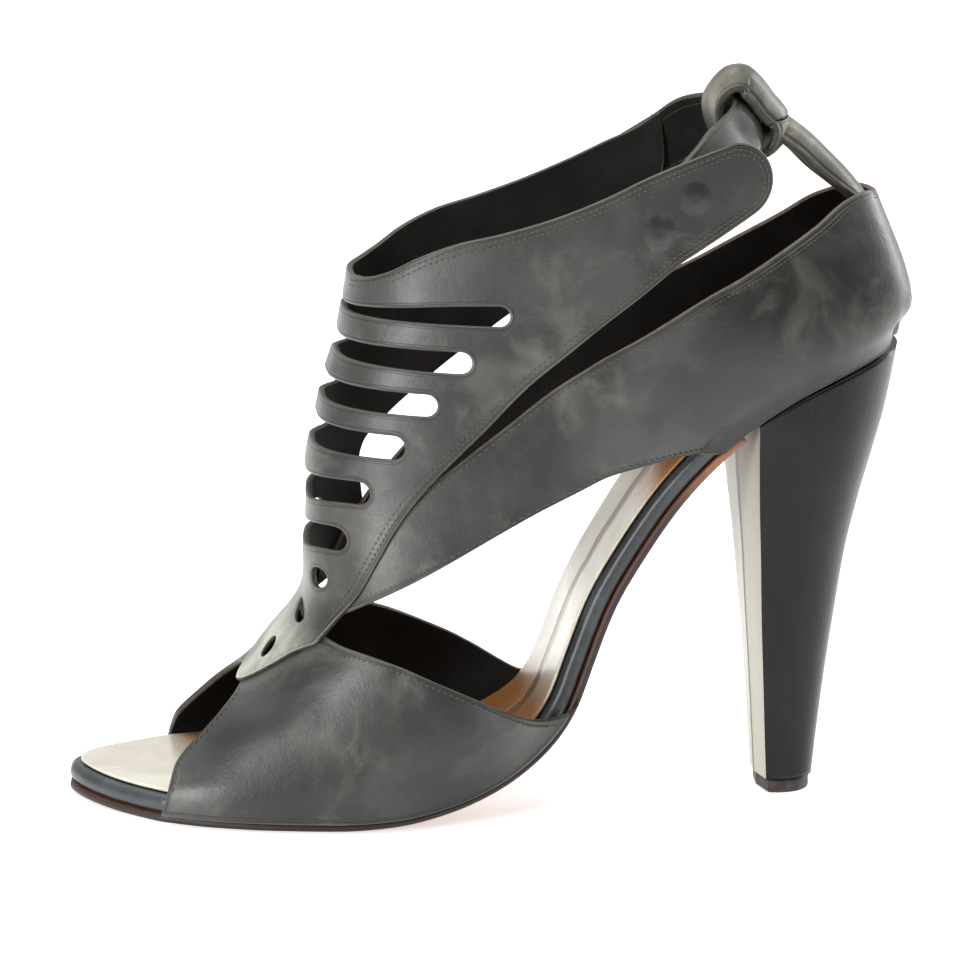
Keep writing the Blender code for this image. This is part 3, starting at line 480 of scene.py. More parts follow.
def flat_pattern(outer, holes, spacing, edge_step=1.1):
    """Flat triangles of a pattern, dense along its edges, with each point's distance to the edge."""
    loops = [spaced(outer if signed_area(outer) > 0 else outer[::-1], edge_step)]
    loops += [spaced(hole if signed_area(hole) < 0 else hole[::-1], edge_step * 0.7) for hole in holes]
    extra = []
    for distance in EDGE_RINGS:
        ring = np.vstack([inset(loop, distance) for loop in loops])
        gap = segment_distance(ring, loops)
        extra.append(ring[(gap > 0.85 * distance) & inside(ring, loops)])
    low, high = loops[0].min(0), loops[0].max(0)
    columns, rows = (np.arange(low[k], high[k], spacing * share) for k, share in enumerate((1, 0.866)))
    grid = np.array([(x + i % 2 * spacing / 2, y) for i, y in enumerate(rows) for x in columns])
    grid = grid[inside(grid, loops)]
    extra.append(grid[segment_distance(grid, loops) > EDGE_RINGS[-1] + spacing * 0.5])
    points = np.vstack(loops + extra)
    edges, start = [], 0
    for loop in loops:
        count = len(loop)
        edges += [(start + i, start + (i + 1) % count) for i in range(count)]
        start += count
    result = delaunay_2d_cdt([Vector(p) for p in points], edges, [], 0, 1e-5)
    flat = np.array([tuple(v) for v in result[0]])
    faces = np.array([f for f in result[2] if len(f) == 3])
    faces = faces[inside(flat[faces].mean(1), loops)]
    used, index = np.unique(faces, return_inverse=True)
    flat, faces = flat[used], index.reshape(-1, 3)
    return flat, faces, segment_distance(flat, loops), loops


def add_values(mesh, name, values):
    """A number at each point of a mesh, for its material to read."""
    mesh.attributes.new(name, "FLOAT", "POINT").data.foreach_set("value", values.astype(np.float32))


def make_piece(name, verts, faces, materials, material_of=None):
    """A mesh piece of the visual model, given in metres."""
    mesh = bpy.data.meshes.new(name)
    mesh.from_pydata([tuple(v) for v in verts], [], [tuple(f) for f in faces])
    for material in materials:
        mesh.materials.append(material)
    if material_of is not None:
        mesh.polygons.foreach_set("material_index", np.asarray(material_of, np.int32))
    made = bmesh.new()
    made.from_mesh(mesh)
    bmesh.ops.recalc_face_normals(made, faces=made.faces)
    made.to_mesh(mesh)
    made.free()
    mesh.shade_smooth()
    piece = bpy.data.objects.new(name, mesh)
    bpy.context.scene.collection.objects.link(piece)
    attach(piece, "root")
    return piece


def two_sided(name, top, low, faces, materials, edge, material_of=None, **values):
    """A piece with a face on either side of a flat pattern, joined at its rim, with values at its points."""
    rim = edge < 1e-3
    below = np.where(rim, np.arange(len(top)), len(top) + np.cumsum(~rim) - 1)
    verts, both = np.vstack([top, low[~rim]]), np.vstack([faces, below[faces][:, ::-1]])
    piece = make_piece(name, place(verts), both, materials, material_of)
    for key, value in dict(edge=edge, **values).items():
        add_values(piece.data, key, np.concatenate([value, value[~rim]]))
    return piece


def leather_piece(name, surface, outer, holes, base, wall, materials, spacing=1.7, relief=None):
    """A leather wall cut to a pattern, with rounded edges: outer face, lining face and cut edge."""
    flat, faces, edge, loops = flat_pattern(outer, holes, spacing)
    soft = np.clip(edge / EDGE_ROUND, 0, 1)
    half = wall / 2 * np.sqrt(1 - (1 - soft) ** 2)
    middle = base + wall / 2 + (np.zeros(len(flat)) if relief is None else relief(flat))
    top, low = surface.at(flat, middle + half)[0], surface.at(flat, middle - half)[0]
    edge_of = edge[faces].max(1)
    kinds = np.concatenate([np.where(edge_of < 0.2, 2, 0), np.where(edge_of < 0.45, 2, 1)])
    return two_sided(name, top, low, faces, materials, edge, kinds), loops


class Shader:
    """Nodes of a material, or of the world, made one after the other."""

    def __init__(self, name, world=None, surface="Principled BSDF", coordinate="Object"):
        self.material = world or bpy.data.materials.new(name)
        self.material.use_nodes = True
        self.tree = self.material.node_tree
        self.surface = self.tree.nodes[surface]
        self.place = self.node("ShaderNodeTexCoord").outputs[coordinate]

    def node(self, kind, **inputs):
        made = self.tree.nodes.new(kind)
        for key, value in inputs.items():
            self.feed(made.inputs[key.replace("_", " ")], value)
        return made

    def feed(self, socket, value):
        if isinstance(value, bpy.types.NodeSocket):
            self.tree.links.new(value, socket)
        else:
            socket.default_value = value

    def set(self, **inputs):
        """Values or links of the shader itself."""
        for key, value in inputs.items():
            self.feed(self.surface.inputs[key.replace("_", " ")], value)

    def stretched(self, scale, offset=(0, 0, 0)):
        mapping = self.node("ShaderNodeMapping", Vector=self.place, Location=offset, Scale=scale)
        return mapping.outputs["Vector"]

    def noise(self, scale, detail=3.0, roughness=0.5, vector=None, distortion=0.0):
        made = self.node(
            "ShaderNodeTexNoise", Vector=vector or self.place, Scale=scale, Detail=detail,
            Roughness=roughness, Distortion=distortion)
        return made.outputs["Fac"]

    def cells(self, scale):
        made = self.node("ShaderNodeTexVoronoi", Vector=self.place, Scale=scale)
        made.feature = "SMOOTH_F1"
        return made.outputs["Distance"]

    def axis(self, name):
        """One coordinate of the frame, in metres."""
        return self.node("ShaderNodeSeparateXYZ", Vector=self.place).outputs[name]

    def attribute(self, name):
        made = self.node("ShaderNodeAttribute")
        made.attribute_name = name
        return made.outputs["Fac"]

    def span(self, value, low, high, to_low=0.0, to_high=1.0, soft=True):
        made = self.tree.nodes.new("ShaderNodeMapRange")
        made.interpolation_type = "SMOOTHSTEP" if soft else "LINEAR"
        for key, number in (
            ("Value", value), ("From Min", low), ("From Max", high), ("To Min", to_low), ("To Max", to_high),
        ):
            self.feed(made.inputs[key], number)
        return made.outputs["Result"]

    def maths(self, operation, a, b=0.0, clamp=False):
        made = self.tree.nodes.new("ShaderNodeMath")
        made.operation = operation
        made.use_clamp = clamp
        self.feed(made.inputs[0], a)
        self.feed(made.inputs[1], b)
        return made.outputs[0]

    def band(self, value, low, high, soft):
        """1 where value lies between low and high, with soft shoulders."""
        rise = self.span(value, low - soft, low)
        fall = self.span(value, high, high + soft, 1.0, 0.0)
        return self.maths("MULTIPLY", rise, fall)

    def near(self, point, low, high):
        """1 close to a point of the frame, 0 beyond high, in metres."""
        made = self.tree.nodes.new("ShaderNodeVectorMath")
        made.operation = "DISTANCE"
        self.feed(made.inputs[0], self.place)
        made.inputs[1].default_value = point
        return self.span(made.outputs["Value"], low, high, 1.0, 0.0)

    def mix(self, share, first, second):
        made = self.tree.nodes.new("ShaderNodeMix")
        made.data_type = "RGBA"
        self.feed(made.inputs["Factor"], share)
        for socket, value in zip((made.inputs[6], made.inputs[7]), (first, second)):
            self.feed(socket, (*value, 1) if isinstance(value, tuple) else value)
        return made.outputs[2]

    def tint(self, base, value, low, high, amount, colour):
        """base with an amount of colour where value rises from low to high."""
        return self.mix(self.maths("MULTIPLY", self.span(value, low, high), amount), base, colour)

    def bump(self, height, distance, strength=1.0, under=None):
        made = self.node("ShaderNodeBump", Height=height, Distance=distance, Strength=strength)
        if under is not None:
            self.feed(made.inputs["Normal"], under)
        return made.outputs["Normal"]


DARK = (0.0070, 0.0073, 0.0063)
MIDDLE = (0.031, 0.0325, 0.0285)
PALE = (0.130, 0.129, 0.108)
THREAD = (0.080, 0.075, 0.050)
EDGE_PAINT = (0.036, 0.034, 0.023)


def leather(name, dark=DARK, middle=MIDDLE, pale=PALE, cloud=26.0, gloss=0.40, snaps=(), eyes=(), toe=0.0,
            edge_wear_and_highlight=0.28):
    """Satin leather of the upper: clouded colour, fine grain, scuffs, a light edge line that is partly wear
    and partly painted highlight, painted shade in the groove inside it, at the snaps and under holes, and a
    painted highlight towards the toe.
    """
    s = Shader(name)
    clouds = s.noise(cloud, 4.0, 0.58)
    base = s.mix(s.span(clouds, 0.40, 0.62), dark, middle)
    patches = s.noise(cloud * 1.5, 4.0, 0.6, s.stretched((1, 1, 1), (0.31, 0.17, 0.23)), 0.5)
    base = s.tint(base, patches, 0.50, 0.72, 0.38, pale)
    wear = s.noise(cloud * 2.3, 5.0, 0.62, distortion=0.4)
    base = s.tint(base, wear, 0.53, 0.78, 0.50, pale)
    scuffs = s.noise(9.0, 6.0, 0.7, s.stretched((60, 60, 420)))
    base = s.tint(base, scuffs, 0.60, 0.72, 0.16, pale)
    edge = s.attribute("edge")
    line = s.band(edge, 0.14, 0.30, 0.12)
    fold = s.band(edge, 0.80, 1.10, 0.22)
    # Painted shade in the groove about a millimetre inside the edge.
    base = s.mix(s.maths("MULTIPLY", fold, 0.75), base, (0.008, 0.008, 0.008))
    # Partly wear, partly a painted highlight: a light line along the rounded cut edge.
    base = s.mix(s.maths("MULTIPLY", line, edge_wear_and_highlight), base, (0.13, 0.125, 0.09))
    # Painted shade in the dimples over the snaps.
    for point in snaps:
        base = s.mix(s.maths("MULTIPLY", s.near(point, 0.0006, 0.0042), 0.8), base, (0.006, 0.006, 0.007))
    # Painted highlight: the strap's tongue towards the toe turns pale and silvery.
    if toe:
        front = s.maths("MULTIPLY", s.span(s.axis("X"), -0.054, -0.042, 1.0, 0.0), toe)
        base = s.mix(front, base, s.mix(s.span(wear, 0.35, 0.65), (0.20, 0.20, 0.165), (0.50, 0.49, 0.41)))
    shine = 1.0
    # Painted shade: black where the strap's holes look down on the vamp, with its shine taken away there.
    for point in eyes:      # black where the strap's holes look on the vamp
        hole = s.near(point, 0.0050, 0.0062)
        base = s.mix(hole, base, (0.002, 0.002, 0.002))
        shine = s.maths("SUBTRACT", shine, hole, clamp=True)
    grain = s.cells(1500.0)
    pores = s.noise(2600.0, 2.0, 0.6)
    rough = s.span(clouds, 0.3, 0.7, gloss + 0.08, gloss - 0.05, soft=False)
    rough = s.maths("ADD", rough, s.maths("MULTIPLY", s.span(wear, 0.5, 0.75), 0.10))
    skin = s.bump(grain, 0.00006, 0.55)
    skin = s.bump(pores, 0.00004, 0.5, skin)
    skin = s.bump(s.noise(210.0, 3.0, 0.55), 0.00022, 0.5, skin)
    skin = s.bump(s.maths("SUBTRACT", 1.0, fold), 0.00018, 0.9, skin)
    for point in snaps:
        skin = s.bump(s.near(point, 0.0012, 0.0046), 0.0007, 1.0, skin)
    s.set(Base_Color=base, Roughness=rough, Normal=skin, Coat_Roughness=0.28, Coat_Weight=0.12)
    if eyes:
        for name, value in (("Coat_Weight", 0.12), ("Specular_IOR_Level", 0.5)):
            s.set(**{name: s.maths("MULTIPLY", shine, value)})
    return s.material


def lining_material():
    """Near-black lining leather with a dry, flat surface."""
    s = Shader("lining")
    clouds = s.noise(40.0, 4.0, 0.6)
    base = s.mix(s.span(clouds, 0.35, 0.7), (0.006, 0.0055, 0.005), (0.015, 0.013, 0.012))
    skin = s.bump(s.noise(1800.0, 2.0, 0.6), 0.00005, 0.5)
    s.set(Base_Color=base, Roughness=0.7, Normal=skin, Specular_IOR_Level=0.12)
    return s.material


def cut_edge(name, colour):
    """Painted cut edge, worn a little unevenly."""
    s = Shader(name)
    wear = s.noise(500.0, 3.0, 0.6)
    base = s.mix(s.span(wear, 0.35, 0.7), colour, tuple(0.45 * c for c in colour))
    s.set(Base_Color=base, Roughness=0.5, Normal=s.bump(wear, 0.0001, 0.5))
    return s.material


def thread_material():
    """Waxed olive sewing thread, twisted."""
    s = Shader("thread")
    twist = s.noise(3200.0, 2.0, 0.5)
    base = s.mix(twist, THREAD, tuple(0.5 * c for c in THREAD))
    s.set(Base_Color=base, Roughness=0.55, Normal=s.bump(twist, 0.00006, 0.6))
    return s.material


def sock_material():
    """Glossy tan sock lining with painted light: cream highlights and reflections in stripes along the waist
    and over the toe, brown painted shade elsewhere, and painted shade in a crease along the waist.
    """
    s = Shader("sock_foil")
    clouds = s.noise(55.0, 4.0, 0.6)
    # Painted light: cream stands for the lit, reflecting parts of the glossy lining and brown for its shaded
    # parts.
    brown = s.mix(s.span(clouds, 0.35, 0.7), (0.26, 0.095, 0.018), (0.40, 0.17, 0.040))
    cream = s.mix(s.span(clouds, 0.35, 0.7), (0.50, 0.46, 0.37), (0.64, 0.60, 0.51))
    x, across = s.axis("X"), s.attribute("across")
    uneven = s.maths("MULTIPLY", s.maths("SUBTRACT", s.noise(90.0, 3.0, 0.5), 0.5), 0.25)
    across = s.maths("ADD", across, uneven)
    # Painted highlights: cream stripes along the waist.
    highlight_stripes = s.maths("ADD", s.band(across, -0.85, -0.20, 0.16), s.band(across, 0.14, 0.80, 0.16), clamp=True)
    waist = s.maths("MULTIPLY", s.span(x, 0.008, 0.016), s.span(x, 0.032, 0.041, 1.0, 0.0))
    # Painted highlight: cream over the whole toe.
    toe = s.span(x, -0.078, -0.066, 1.0, 0.0)
    base = s.mix(s.maths("MULTIPLY", highlight_stripes, waist), brown, cream)
    base = s.mix(toe, base, cream)
    # Painted shade in the crease along the waist.
    crease = s.maths("MULTIPLY", s.band(across, -0.10, 0.02, 0.10), s.span(x, -0.004, 0.010))
    base = s.mix(s.maths("MULTIPLY", crease, 0.8), base, (0.115, 0.065, 0.030))
    rub = s.noise(150.0, 5.0, 0.7, distortion=1.2)
    base = s.tint(base, rub, 0.62, 0.76, 0.35, (0.20, 0.12, 0.06))
    skin = s.bump(s.cells(420.0), 0.00012, 0.30)
    skin = s.bump(s.noise(900.0, 3.0, 0.6), 0.00006, 0.5, skin)
    skin = s.bump(s.maths("SUBTRACT", 1.0, crease), 0.0006, 0.6, skin)
    rough = s.span(clouds, 0.3, 0.7, 0.34, 0.24, soft=False)
    s.set(Base_Color=base, Metallic=0.1, Roughness=rough, Normal=skin, Coat_Weight=0.5, Coat_Roughness=0.14)
    return s.material


def sole_material():
    """Leather outsole: red-brown and scuffed, its edge painted near-black except along the waist."""
    s = Shader("sole_leather")
    clouds = s.noise(90.0, 5.0, 0.65)
    base = s.mix(s.span(clouds, 0.3, 0.7), (0.30, 0.115, 0.055), (0.13, 0.055, 0.030))
    streaks = s.noise(30.0, 5.0, 0.7, s.stretched((40, 260, 260)))
    base = s.tint(base, streaks, 0.55, 0.75, 0.6, (0.035, 0.022, 0.016))
    waist = s.span(s.axis("X"), 0.040, 0.054)
    painted = s.maths("SUBTRACT", s.span(s.attribute("edge"), 0.0, 0.9, 1.0, 0.0), waist, clamp=True)
    base = s.mix(painted, base, s.mix(clouds, (0.006, 0.005, 0.0045), (0.024, 0.013, 0.009)))
    skin = s.bump(s.noise(1200.0, 3.0, 0.6), 0.00008, 0.6)
    s.set(Base_Color=base, Roughness=0.5, Normal=skin)
    return s.material


def heel_material():
    """Heel cover: the upper's leather polished darker, with scuffs that run down it, and a painted cream
    reflection on the breast, paler towards its bottom.
    """
    s = Shader("heel_leather")
    clouds = s.noise(38.0, 5.0, 0.6, s.stretched((1, 1, 0.45)))
    base = s.mix(s.span(clouds, 0.38, 0.68), (0.0025, 0.0027, 0.0025), (0.0085, 0.009, 0.0083))
    scuffs = s.noise(14.0, 6.0, 0.72, s.stretched((300, 300, 34)))
    base = s.tint(base, scuffs, 0.62, 0.72, 0.35, (0.13, 0.135, 0.13))
    scratch = s.noise(22.0, 4.0, 0.6, s.stretched((40, 40, 500)))
    base = s.tint(base, scratch, 0.70, 0.78, 0.30, (0.16, 0.16, 0.15))
    skin = s.bump(s.cells(1500.0), 0.00005, 0.4)
    skin = s.bump(s.noise(130.0, 4.0, 0.6), 0.0003, 0.35, skin)
    rough = s.span(clouds, 0.3, 0.7, 0.40, 0.30, soft=False)
    # Painted reflection: the breast pale cream, paler towards its bottom.
    place_on = s.attribute("breast")
    breast = s.span(place_on, 1.0, 1.15, 1.0, 0.0)
    pale = s.mix(s.span(s.axis("Z"), 0.03, 0.10), (0.40, 0.39, 0.33), (0.25, 0.235, 0.185))
    base = s.mix(breast, base, pale)
    ridge = s.maths("MULTIPLY", s.span(place_on, 0.03, 0.12, 1.0, 0.0), 0.85)
    base = s.mix(ridge, base, (0.02, 0.018, 0.014))
    s.set(Base_Color=base, Roughness=rough, Normal=skin, Coat_Roughness=0.10, Specular_IOR_Level=0.18,
          Coat_Weight=s.maths("MULTIPLY", s.maths("SUBTRACT", 1.0, breast), 0.10))
    return s.material


def tip_material():
    """Hard rubber heel tip with ground edges."""
    s = Shader("tip_rubber")
    wear = s.noise(420.0, 4.0, 0.65)
    base = s.mix(s.span(wear, 0.4, 0.7), (0.016, 0.011, 0.009), (0.055, 0.038, 0.028))
    s.set(Base_Color=base, Roughness=0.55, Normal=s.bump(wear, 0.0002, 0.6))
    return s.material


def rim_material():
    """Leather wrap of the insole's rim, smoother than the upper."""
    s = Shader("rim_leather")
    clouds = s.noise(45.0, 4.0, 0.6)
    base = s.mix(s.span(clouds, 0.38, 0.66), (0.012, 0.015, 0.017), (0.036, 0.044, 0.049))
    skin = s.bump(s.cells(1500.0), 0.00006, 0.5)
    skin = s.bump(s.noise(260.0, 3.0, 0.6), 0.0003, 0.5, skin)
    s.set(Base_Color=base, Roughness=0.42, Normal=skin, Coat_Weight=0.15, Coat_Roughness=0.25)
    return s.material


# The snaps under the lateral tab, as points of the frame
SNAPS = ((0.0352, -0.0290, 0.1443), (0.0440, -0.0280, 0.1523))

UPPER_LEATHER = leather("upper_leather")
TAB_LEATHER = leather("cage_leather", snaps=SNAPS, toe=0.8)
STRAP_LEATHER = leather(
    "back_strap_leather", (0.040, 0.038, 0.027), (0.115, 0.110, 0.080), (0.34, 0.32, 0.23), cloud=60,
    gloss=0.45, edge_wear_and_highlight=0.3)
BAND_LEATHER = leather("band_leather", cloud=40, gloss=0.50)
LINING = lining_material()
EDGE = cut_edge("cut_edge", EDGE_PAINT)
RED_EDGE = cut_edge("raw_edge", (0.105, 0.062, 0.042))
THREAD_WAX = thread_material()


def tube_faces(rows, count):
    """Faces round rows of points and over both ends."""
    faces = []
    for i in range(rows - 1):
        for j in range(count):
            a, b = i * count + j, i * count + (j + 1) % count
            faces.append((a, b, b + count, a + count))
    return faces + [tuple(range(count)), tuple(range(rows * count - 1, (rows - 1) * count - 1, -1))]


def stitches(name, surface, path, pitch, base):
    """A row of stitches along a path over a surface: each one a short thread that dips in at both ends."""
    size = run_length(path)
    count = max(2, int(size[-1] / pitch))
    verts, faces = [], []
    shares = np.array([-0.5, -0.36, 0, 0.36, 0.5])
    heights = np.array([-0.25, 0.06, 0.16, 0.06, -0.25])
    turn = np.arange(STITCH_SIDES) * 2 * math.pi / STITCH_SIDES
    tube = tube_faces(len(shares), STITCH_SIDES)
    for i in range(count):
        middle = (i + 0.5) * size[-1] / count
        at = np.clip(middle + shares * pitch * STITCH_LENGTH, 0, size[-1])
        flat = np.stack([np.interp(at, size, path[:, k]) for k in range(2)], 1)
        spine, normal = surface.at(flat, base + heights)
        along = np.gradient(spine, axis=0)
        along /= np.linalg.norm(along, axis=1, keepdims=True)
        across = np.cross(along, normal)
        start = len(verts)
        for p, n, c, r in zip(spine, normal, across, (0.6, 1, 1, 1, 0.6)):
            verts += [p + (n * math.sin(t) + c * math.cos(t)) * STITCH_RADIUS * r for t in turn]
        faces += [tuple(start + k for k in face) for face in tube]
    thread = make_piece(name, place(np.array(verts)), faces, [THREAD_WAX])


def along_edge(loop, distance, keep):
    """Stretches of an outline moved inwards, where keep(points) holds."""
    ring = inset(loop, distance)
    wanted = keep(ring)
    if wanted.all():
        return [np.vstack([ring, ring[:1]])]
    start = int(np.argmax(~wanted))
    ring, wanted = np.roll(ring, -start, 0), np.roll(wanted, -start)
    runs, run = [], []
    for point, ok in zip(ring, wanted):
        if ok:
            run.append(point)
        elif run:
            runs.append(np.array(run))
            run = []
    if run:
        runs.append(np.array(run))
    return [r for r in runs if len(r) > 5]


def round_end(centre_x, centre_z, radius, start, end, steps=24):
    turns = np.radians(np.linspace(start, end, steps + 1))
    return [(centre_x + radius * math.cos(t), centre_z + radius * math.sin(t)) for t in turns]


CAGE = side_surface(np.arange(24.0, 175.0), "lateral", "medial", 125)


def waves(flat, sizes, height, phase=0.0):
    """Slow unevenness of worn leather over a pattern."""
    a, b = flat[:, 0], flat[:, 1]
    first, second = sizes
    return height * (
        np.sin(a / first + 1.3 + phase) * np.sin(b / second + 0.4 + 2 * phase)
        + 0.5 * np.sin((a + 0.7 * b) / (0.6 * first) + 2.1 + phase)
    )


def cage_outline(side):
    """One side's outline from the strap's tip to the collar's front, as length round the last and z."""
    strap = curve_through(STRAP_EDGE if side < 0 else MEDIAL_EDGE, 0.8)
    tongue = curve_through(TONGUE[side], 0.6)
    if side < 0:
        tab = curve_through(TAB_EDGE, 0.8)[1:]
        end = np.array(round_end(*TAB_ROUND))
        top = curve_through(np.array([tuple(end[-1])] + TAB_TOP + COLLAR_EDGE), 0.8)[1:]
        line = np.vstack([strap, tab, end, top])
    else:
        wing = curve_through(WING_EDGE[:4], 0.8)[1:]
        top = curve_through(np.array(WING_EDGE[3:] + COLLAR_EDGE), 0.8)[1:]
        line = np.vstack([strap, wing, top])
    found = round_length(CAGE, line[:, 0], line[:, 1], side, LAYER + WALL)
    return np.vstack([tongue, found[np.abs(found[:, 0]) > 0.2]])


def slot_outline(row):
    """A slot's outline right round the instep."""
    lateral_x, medial_x, end_z, front_z, end_height, front_height = row
    radius = end_height / 2
    sides = []
    for side, end_x in ((-1, lateral_x), (1, medial_x)):
        start_x = end_x - radius
        arc = np.array(round_end(start_x, end_z, radius, -90, 90, 14))
        end = round_length(CAGE, arc[:, 0], arc[:, 1], side, LAYER + WALL)
        start = min(abs(end[0, 0]), abs(end[-1, 0]))
        share = np.linspace(0, 1, max(4, int(start / 1.2)))[:-1]
        ease = share * share * (3 - 2 * share)
        half_front = front_height / 2
        low_z = (front_z - half_front) * (1 - ease) + end[0, 1] * ease
        high_z = (front_z + half_front) * (1 - ease) + end[-1, 1] * ease
        low = np.stack([side * start * share, low_z], 1)
        high = np.stack([side * start * share, high_z], 1)
        sides.append(np.vstack([low, end, high[::-1]]))
    lateral, medial = sides
    return np.vstack([medial, lateral[::-1][1:-1]])


def cage_relief(flat):
    """Slow waves, and rungs that bow a little."""
    lift = waves(flat, (11.0, 17.0), 0.10)
    middle = np.exp(-0.5 * (flat[:, 0] / 9.0) ** 2)
    rungs = np.clip((127 - flat[:, 1]) / 10, 0, 1)
    return lift + 0.25 * middle * rungs * np.sin(flat[:, 1] / 3.1)


def cage():
    """T-strap with its slots, holes, lateral tab and medial wing."""
    lateral, medial = cage_outline(-1), cage_outline(1)
    outer = np.vstack([medial[1:], lateral[::-1]])
    holes = [slot_outline(row) for row in SLOTS]
    turn = np.radians(np.arange(0, 360, 15))
    for length, z, half, height, slant in EYES:
        along, up, angle = half * np.cos(turn), height * np.sin(turn), math.radians(slant)
        holes.append(np.stack([
            length + along * math.cos(angle) - up * math.sin(angle),
            z + along * math.sin(angle) + up * math.cos(angle)], 1))
    piece, loops = leather_piece(
        "t_strap_cage", CAGE, outer, holes, LAYER, WALL, [TAB_LEATHER, LINING, EDGE], relief=cage_relief)
    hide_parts("upper")
    rows = []
    low, off = STRAP_SEWN
    for distance in STRAP_ROWS:
        rows += along_edge(loops[0], distance, lambda p: (p[:, 1] > low) & (np.abs(p[:, 0]) > off))
    for i, row in enumerate(rows):
        stitches(f"cage_stitches_{i}", CAGE, row, STITCH_PITCH, LAYER + WALL)


QUARTER = side_surface(np.arange(40.0, 160.0), "quarter", "quarter", 190, from_back=True)


def quarter_outline(side):
    """One side's top and bottom line of the quarter, each from its front to the back."""
    level = curve_through(QUARTER_TOP, 0.8)
    top = level
    grown = np.clip((level[:, 0] - TILT_X[0]) / (TILT_X[1] - TILT_X[0]), 0, 1)
    for _ in range(4):
        reach = half_width(top[:, 0], top[:, 1], "quarter")
        top = np.stack([level[:, 0], level[:, 1] - TOPLINE_TILT * side * reach * grown], 1)
    at = BED_X > SEAT_FROM
    seat = np.stack([BED_X[at], BED_Z[at]], 1)[::6]
    slope = (seat[-1, 1] - seat[-2, 1]) / (seat[-1, 0] - seat[-2, 0])
    run = np.arange(seat[-1, 0] + 1, 205, 1.0)
    seat = np.vstack([seat, np.stack([run, seat[-1, 1] + slope * (run - seat[-1, 0])], 1)])
    bottom = np.vstack([curve_through(QUARTER_BOTTOM, 0.8), seat])
    lines = []
    for line in (top, bottom):
        found = round_length(QUARTER, line[:, 0], line[:, 1], side, WALL, from_back=True)
        lines.append(found[np.abs(found[:, 0]) > 0.3])
    return lines


def quarter():
    """Heel cup with its two wings."""
    top_near, low_near = quarter_outline(-1)
    top_far, low_far = quarter_outline(1)
    outer = np.vstack([top_near, top_far[::-1], low_far, low_near[::-1]])
    piece, loops = leather_piece(
        "quarter_leather", QUARTER, outer, [], 0.0, WALL, [UPPER_LEATHER, LINING, RED_EDGE], spacing=1.9,
        relief=lambda flat: waves(flat, (14.0, 12.0), 0.14, 0.8))
    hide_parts("upper")

    def edge_side(p, on_top):
        """Whether points of the edge are sewn along its top, or else along its bottom."""
        x = QUARTER.read(QUARTER.points, p)[:, 0]
        middle = (np.interp(x, *zip(*QUARTER_TOP)) + np.interp(x, *zip(*QUARTER_BOTTOM), right=95)) / 2
        first, last = QUARTER_SEWN
        return (x > first) & (p[:, 1] > middle if on_top else (p[:, 1] < middle) & (x < last))

    rows = along_edge(loops[0], QUARTER_ROWS[0], lambda p: edge_side(p, True))
    rows += along_edge(loops[0], QUARTER_ROWS[1], lambda p: edge_side(p, False))
    for i, row in enumerate(rows):
        stitches(f"quarter_stitches_{i}", QUARTER, row, QUARTER_PITCH, WALL)


def vamp_surface():
    """Surface over x and the length over the foot from the crown, negative on the lateral side."""
    stations = np.arange(19.0, 124.0)
    reach = 100
    throat_x, throat_z = zip(*THROAT_EDGE)
    rows = []
    for x in stations:
        floor = np.interp(x, BED_X, BED_Z)
        open_from = np.interp(x, throat_x, throat_z, left=THROAT_TOP) + THROAT_SPARE
        rays = np.linspace(0, math.pi / 2, 240)
        low, high = np.zeros_like(rays), np.full_like(rays, 120.0)
        for _ in range(30):
            middle = (low + high) / 2
            y, z = middle * np.cos(rays), floor + middle * np.sin(rays)
            lid = np.sqrt(np.clip(1 - np.clip((z - open_from) / THROAT_LID, 0, 1) ** 2, 0, 1))
            within = half_width(np.full_like(y, x), z, "lateral") * lid > y
            low, high = np.where(within, middle, low), np.where(within, high, middle)
        y, z = low * np.cos(rays), floor + low * np.sin(rays)
        y[-1] = 0
        length = run_over(y, z)
        girth = length[-1] if x < CREST_END else min(length[-1], girth + 1.0)
        at = girth - np.arange(reach + 1)
        rows.append((np.interp(at, length, y), np.interp(at, length, z) + np.clip(at, None, 0)))
        rows[-1][0][0] = 0
    points = np.zeros((len(stations), 2 * reach + 1, 3))
    for i, (x, (ys, zs)) in enumerate(zip(stations, rows)):
        points[i, :, 0] = x
        points[i, :, 1] = np.concatenate([-ys[::-1], ys[1:]])
        points[i, :, 2] = np.concatenate([zs[::-1], zs[1:]])
    blur_rows(points, 4, 3, 1)
    return Surface(stations, np.arange(-reach, reach + 1), points, lead=0)


VAMP = vamp_surface()


def over_length(x, z):
    """Length down from the crown to height z at station x."""
    reach = int(VAMP.second[-1])
    found = []
    for px, pz in zip(x, z):
        i = np.clip(px - VAMP.first[0], 0, len(VAMP.first) - 1.001)
        i0, t = int(i), i - int(i)
        line = (VAMP.points[i0] * (1 - t) + VAMP.points[i0 + 1] * t)[reach:, 2]
        found.append(np.interp(-pz, -line, np.arange(reach + 1)))
    return np.array(found)


def vamp_relief(flat):
    """Slow waves and two soft creases across the ball, where the foot bends."""
    x, a = flat[:, 0], flat[:, 1]
    lift = waves(flat, (9.0, 13.0), 0.12, 0.4)
    for centre, lean, depth in ((76, 0.25, 0.35), (88, 0.3, 0.25)):
        line = (x - centre - lean * (np.abs(a) - 30)) / 3.2
        lift -= depth * np.exp(-line ** 2) * np.exp(-((np.abs(a) - 32) / 16) ** 2)
    return lift


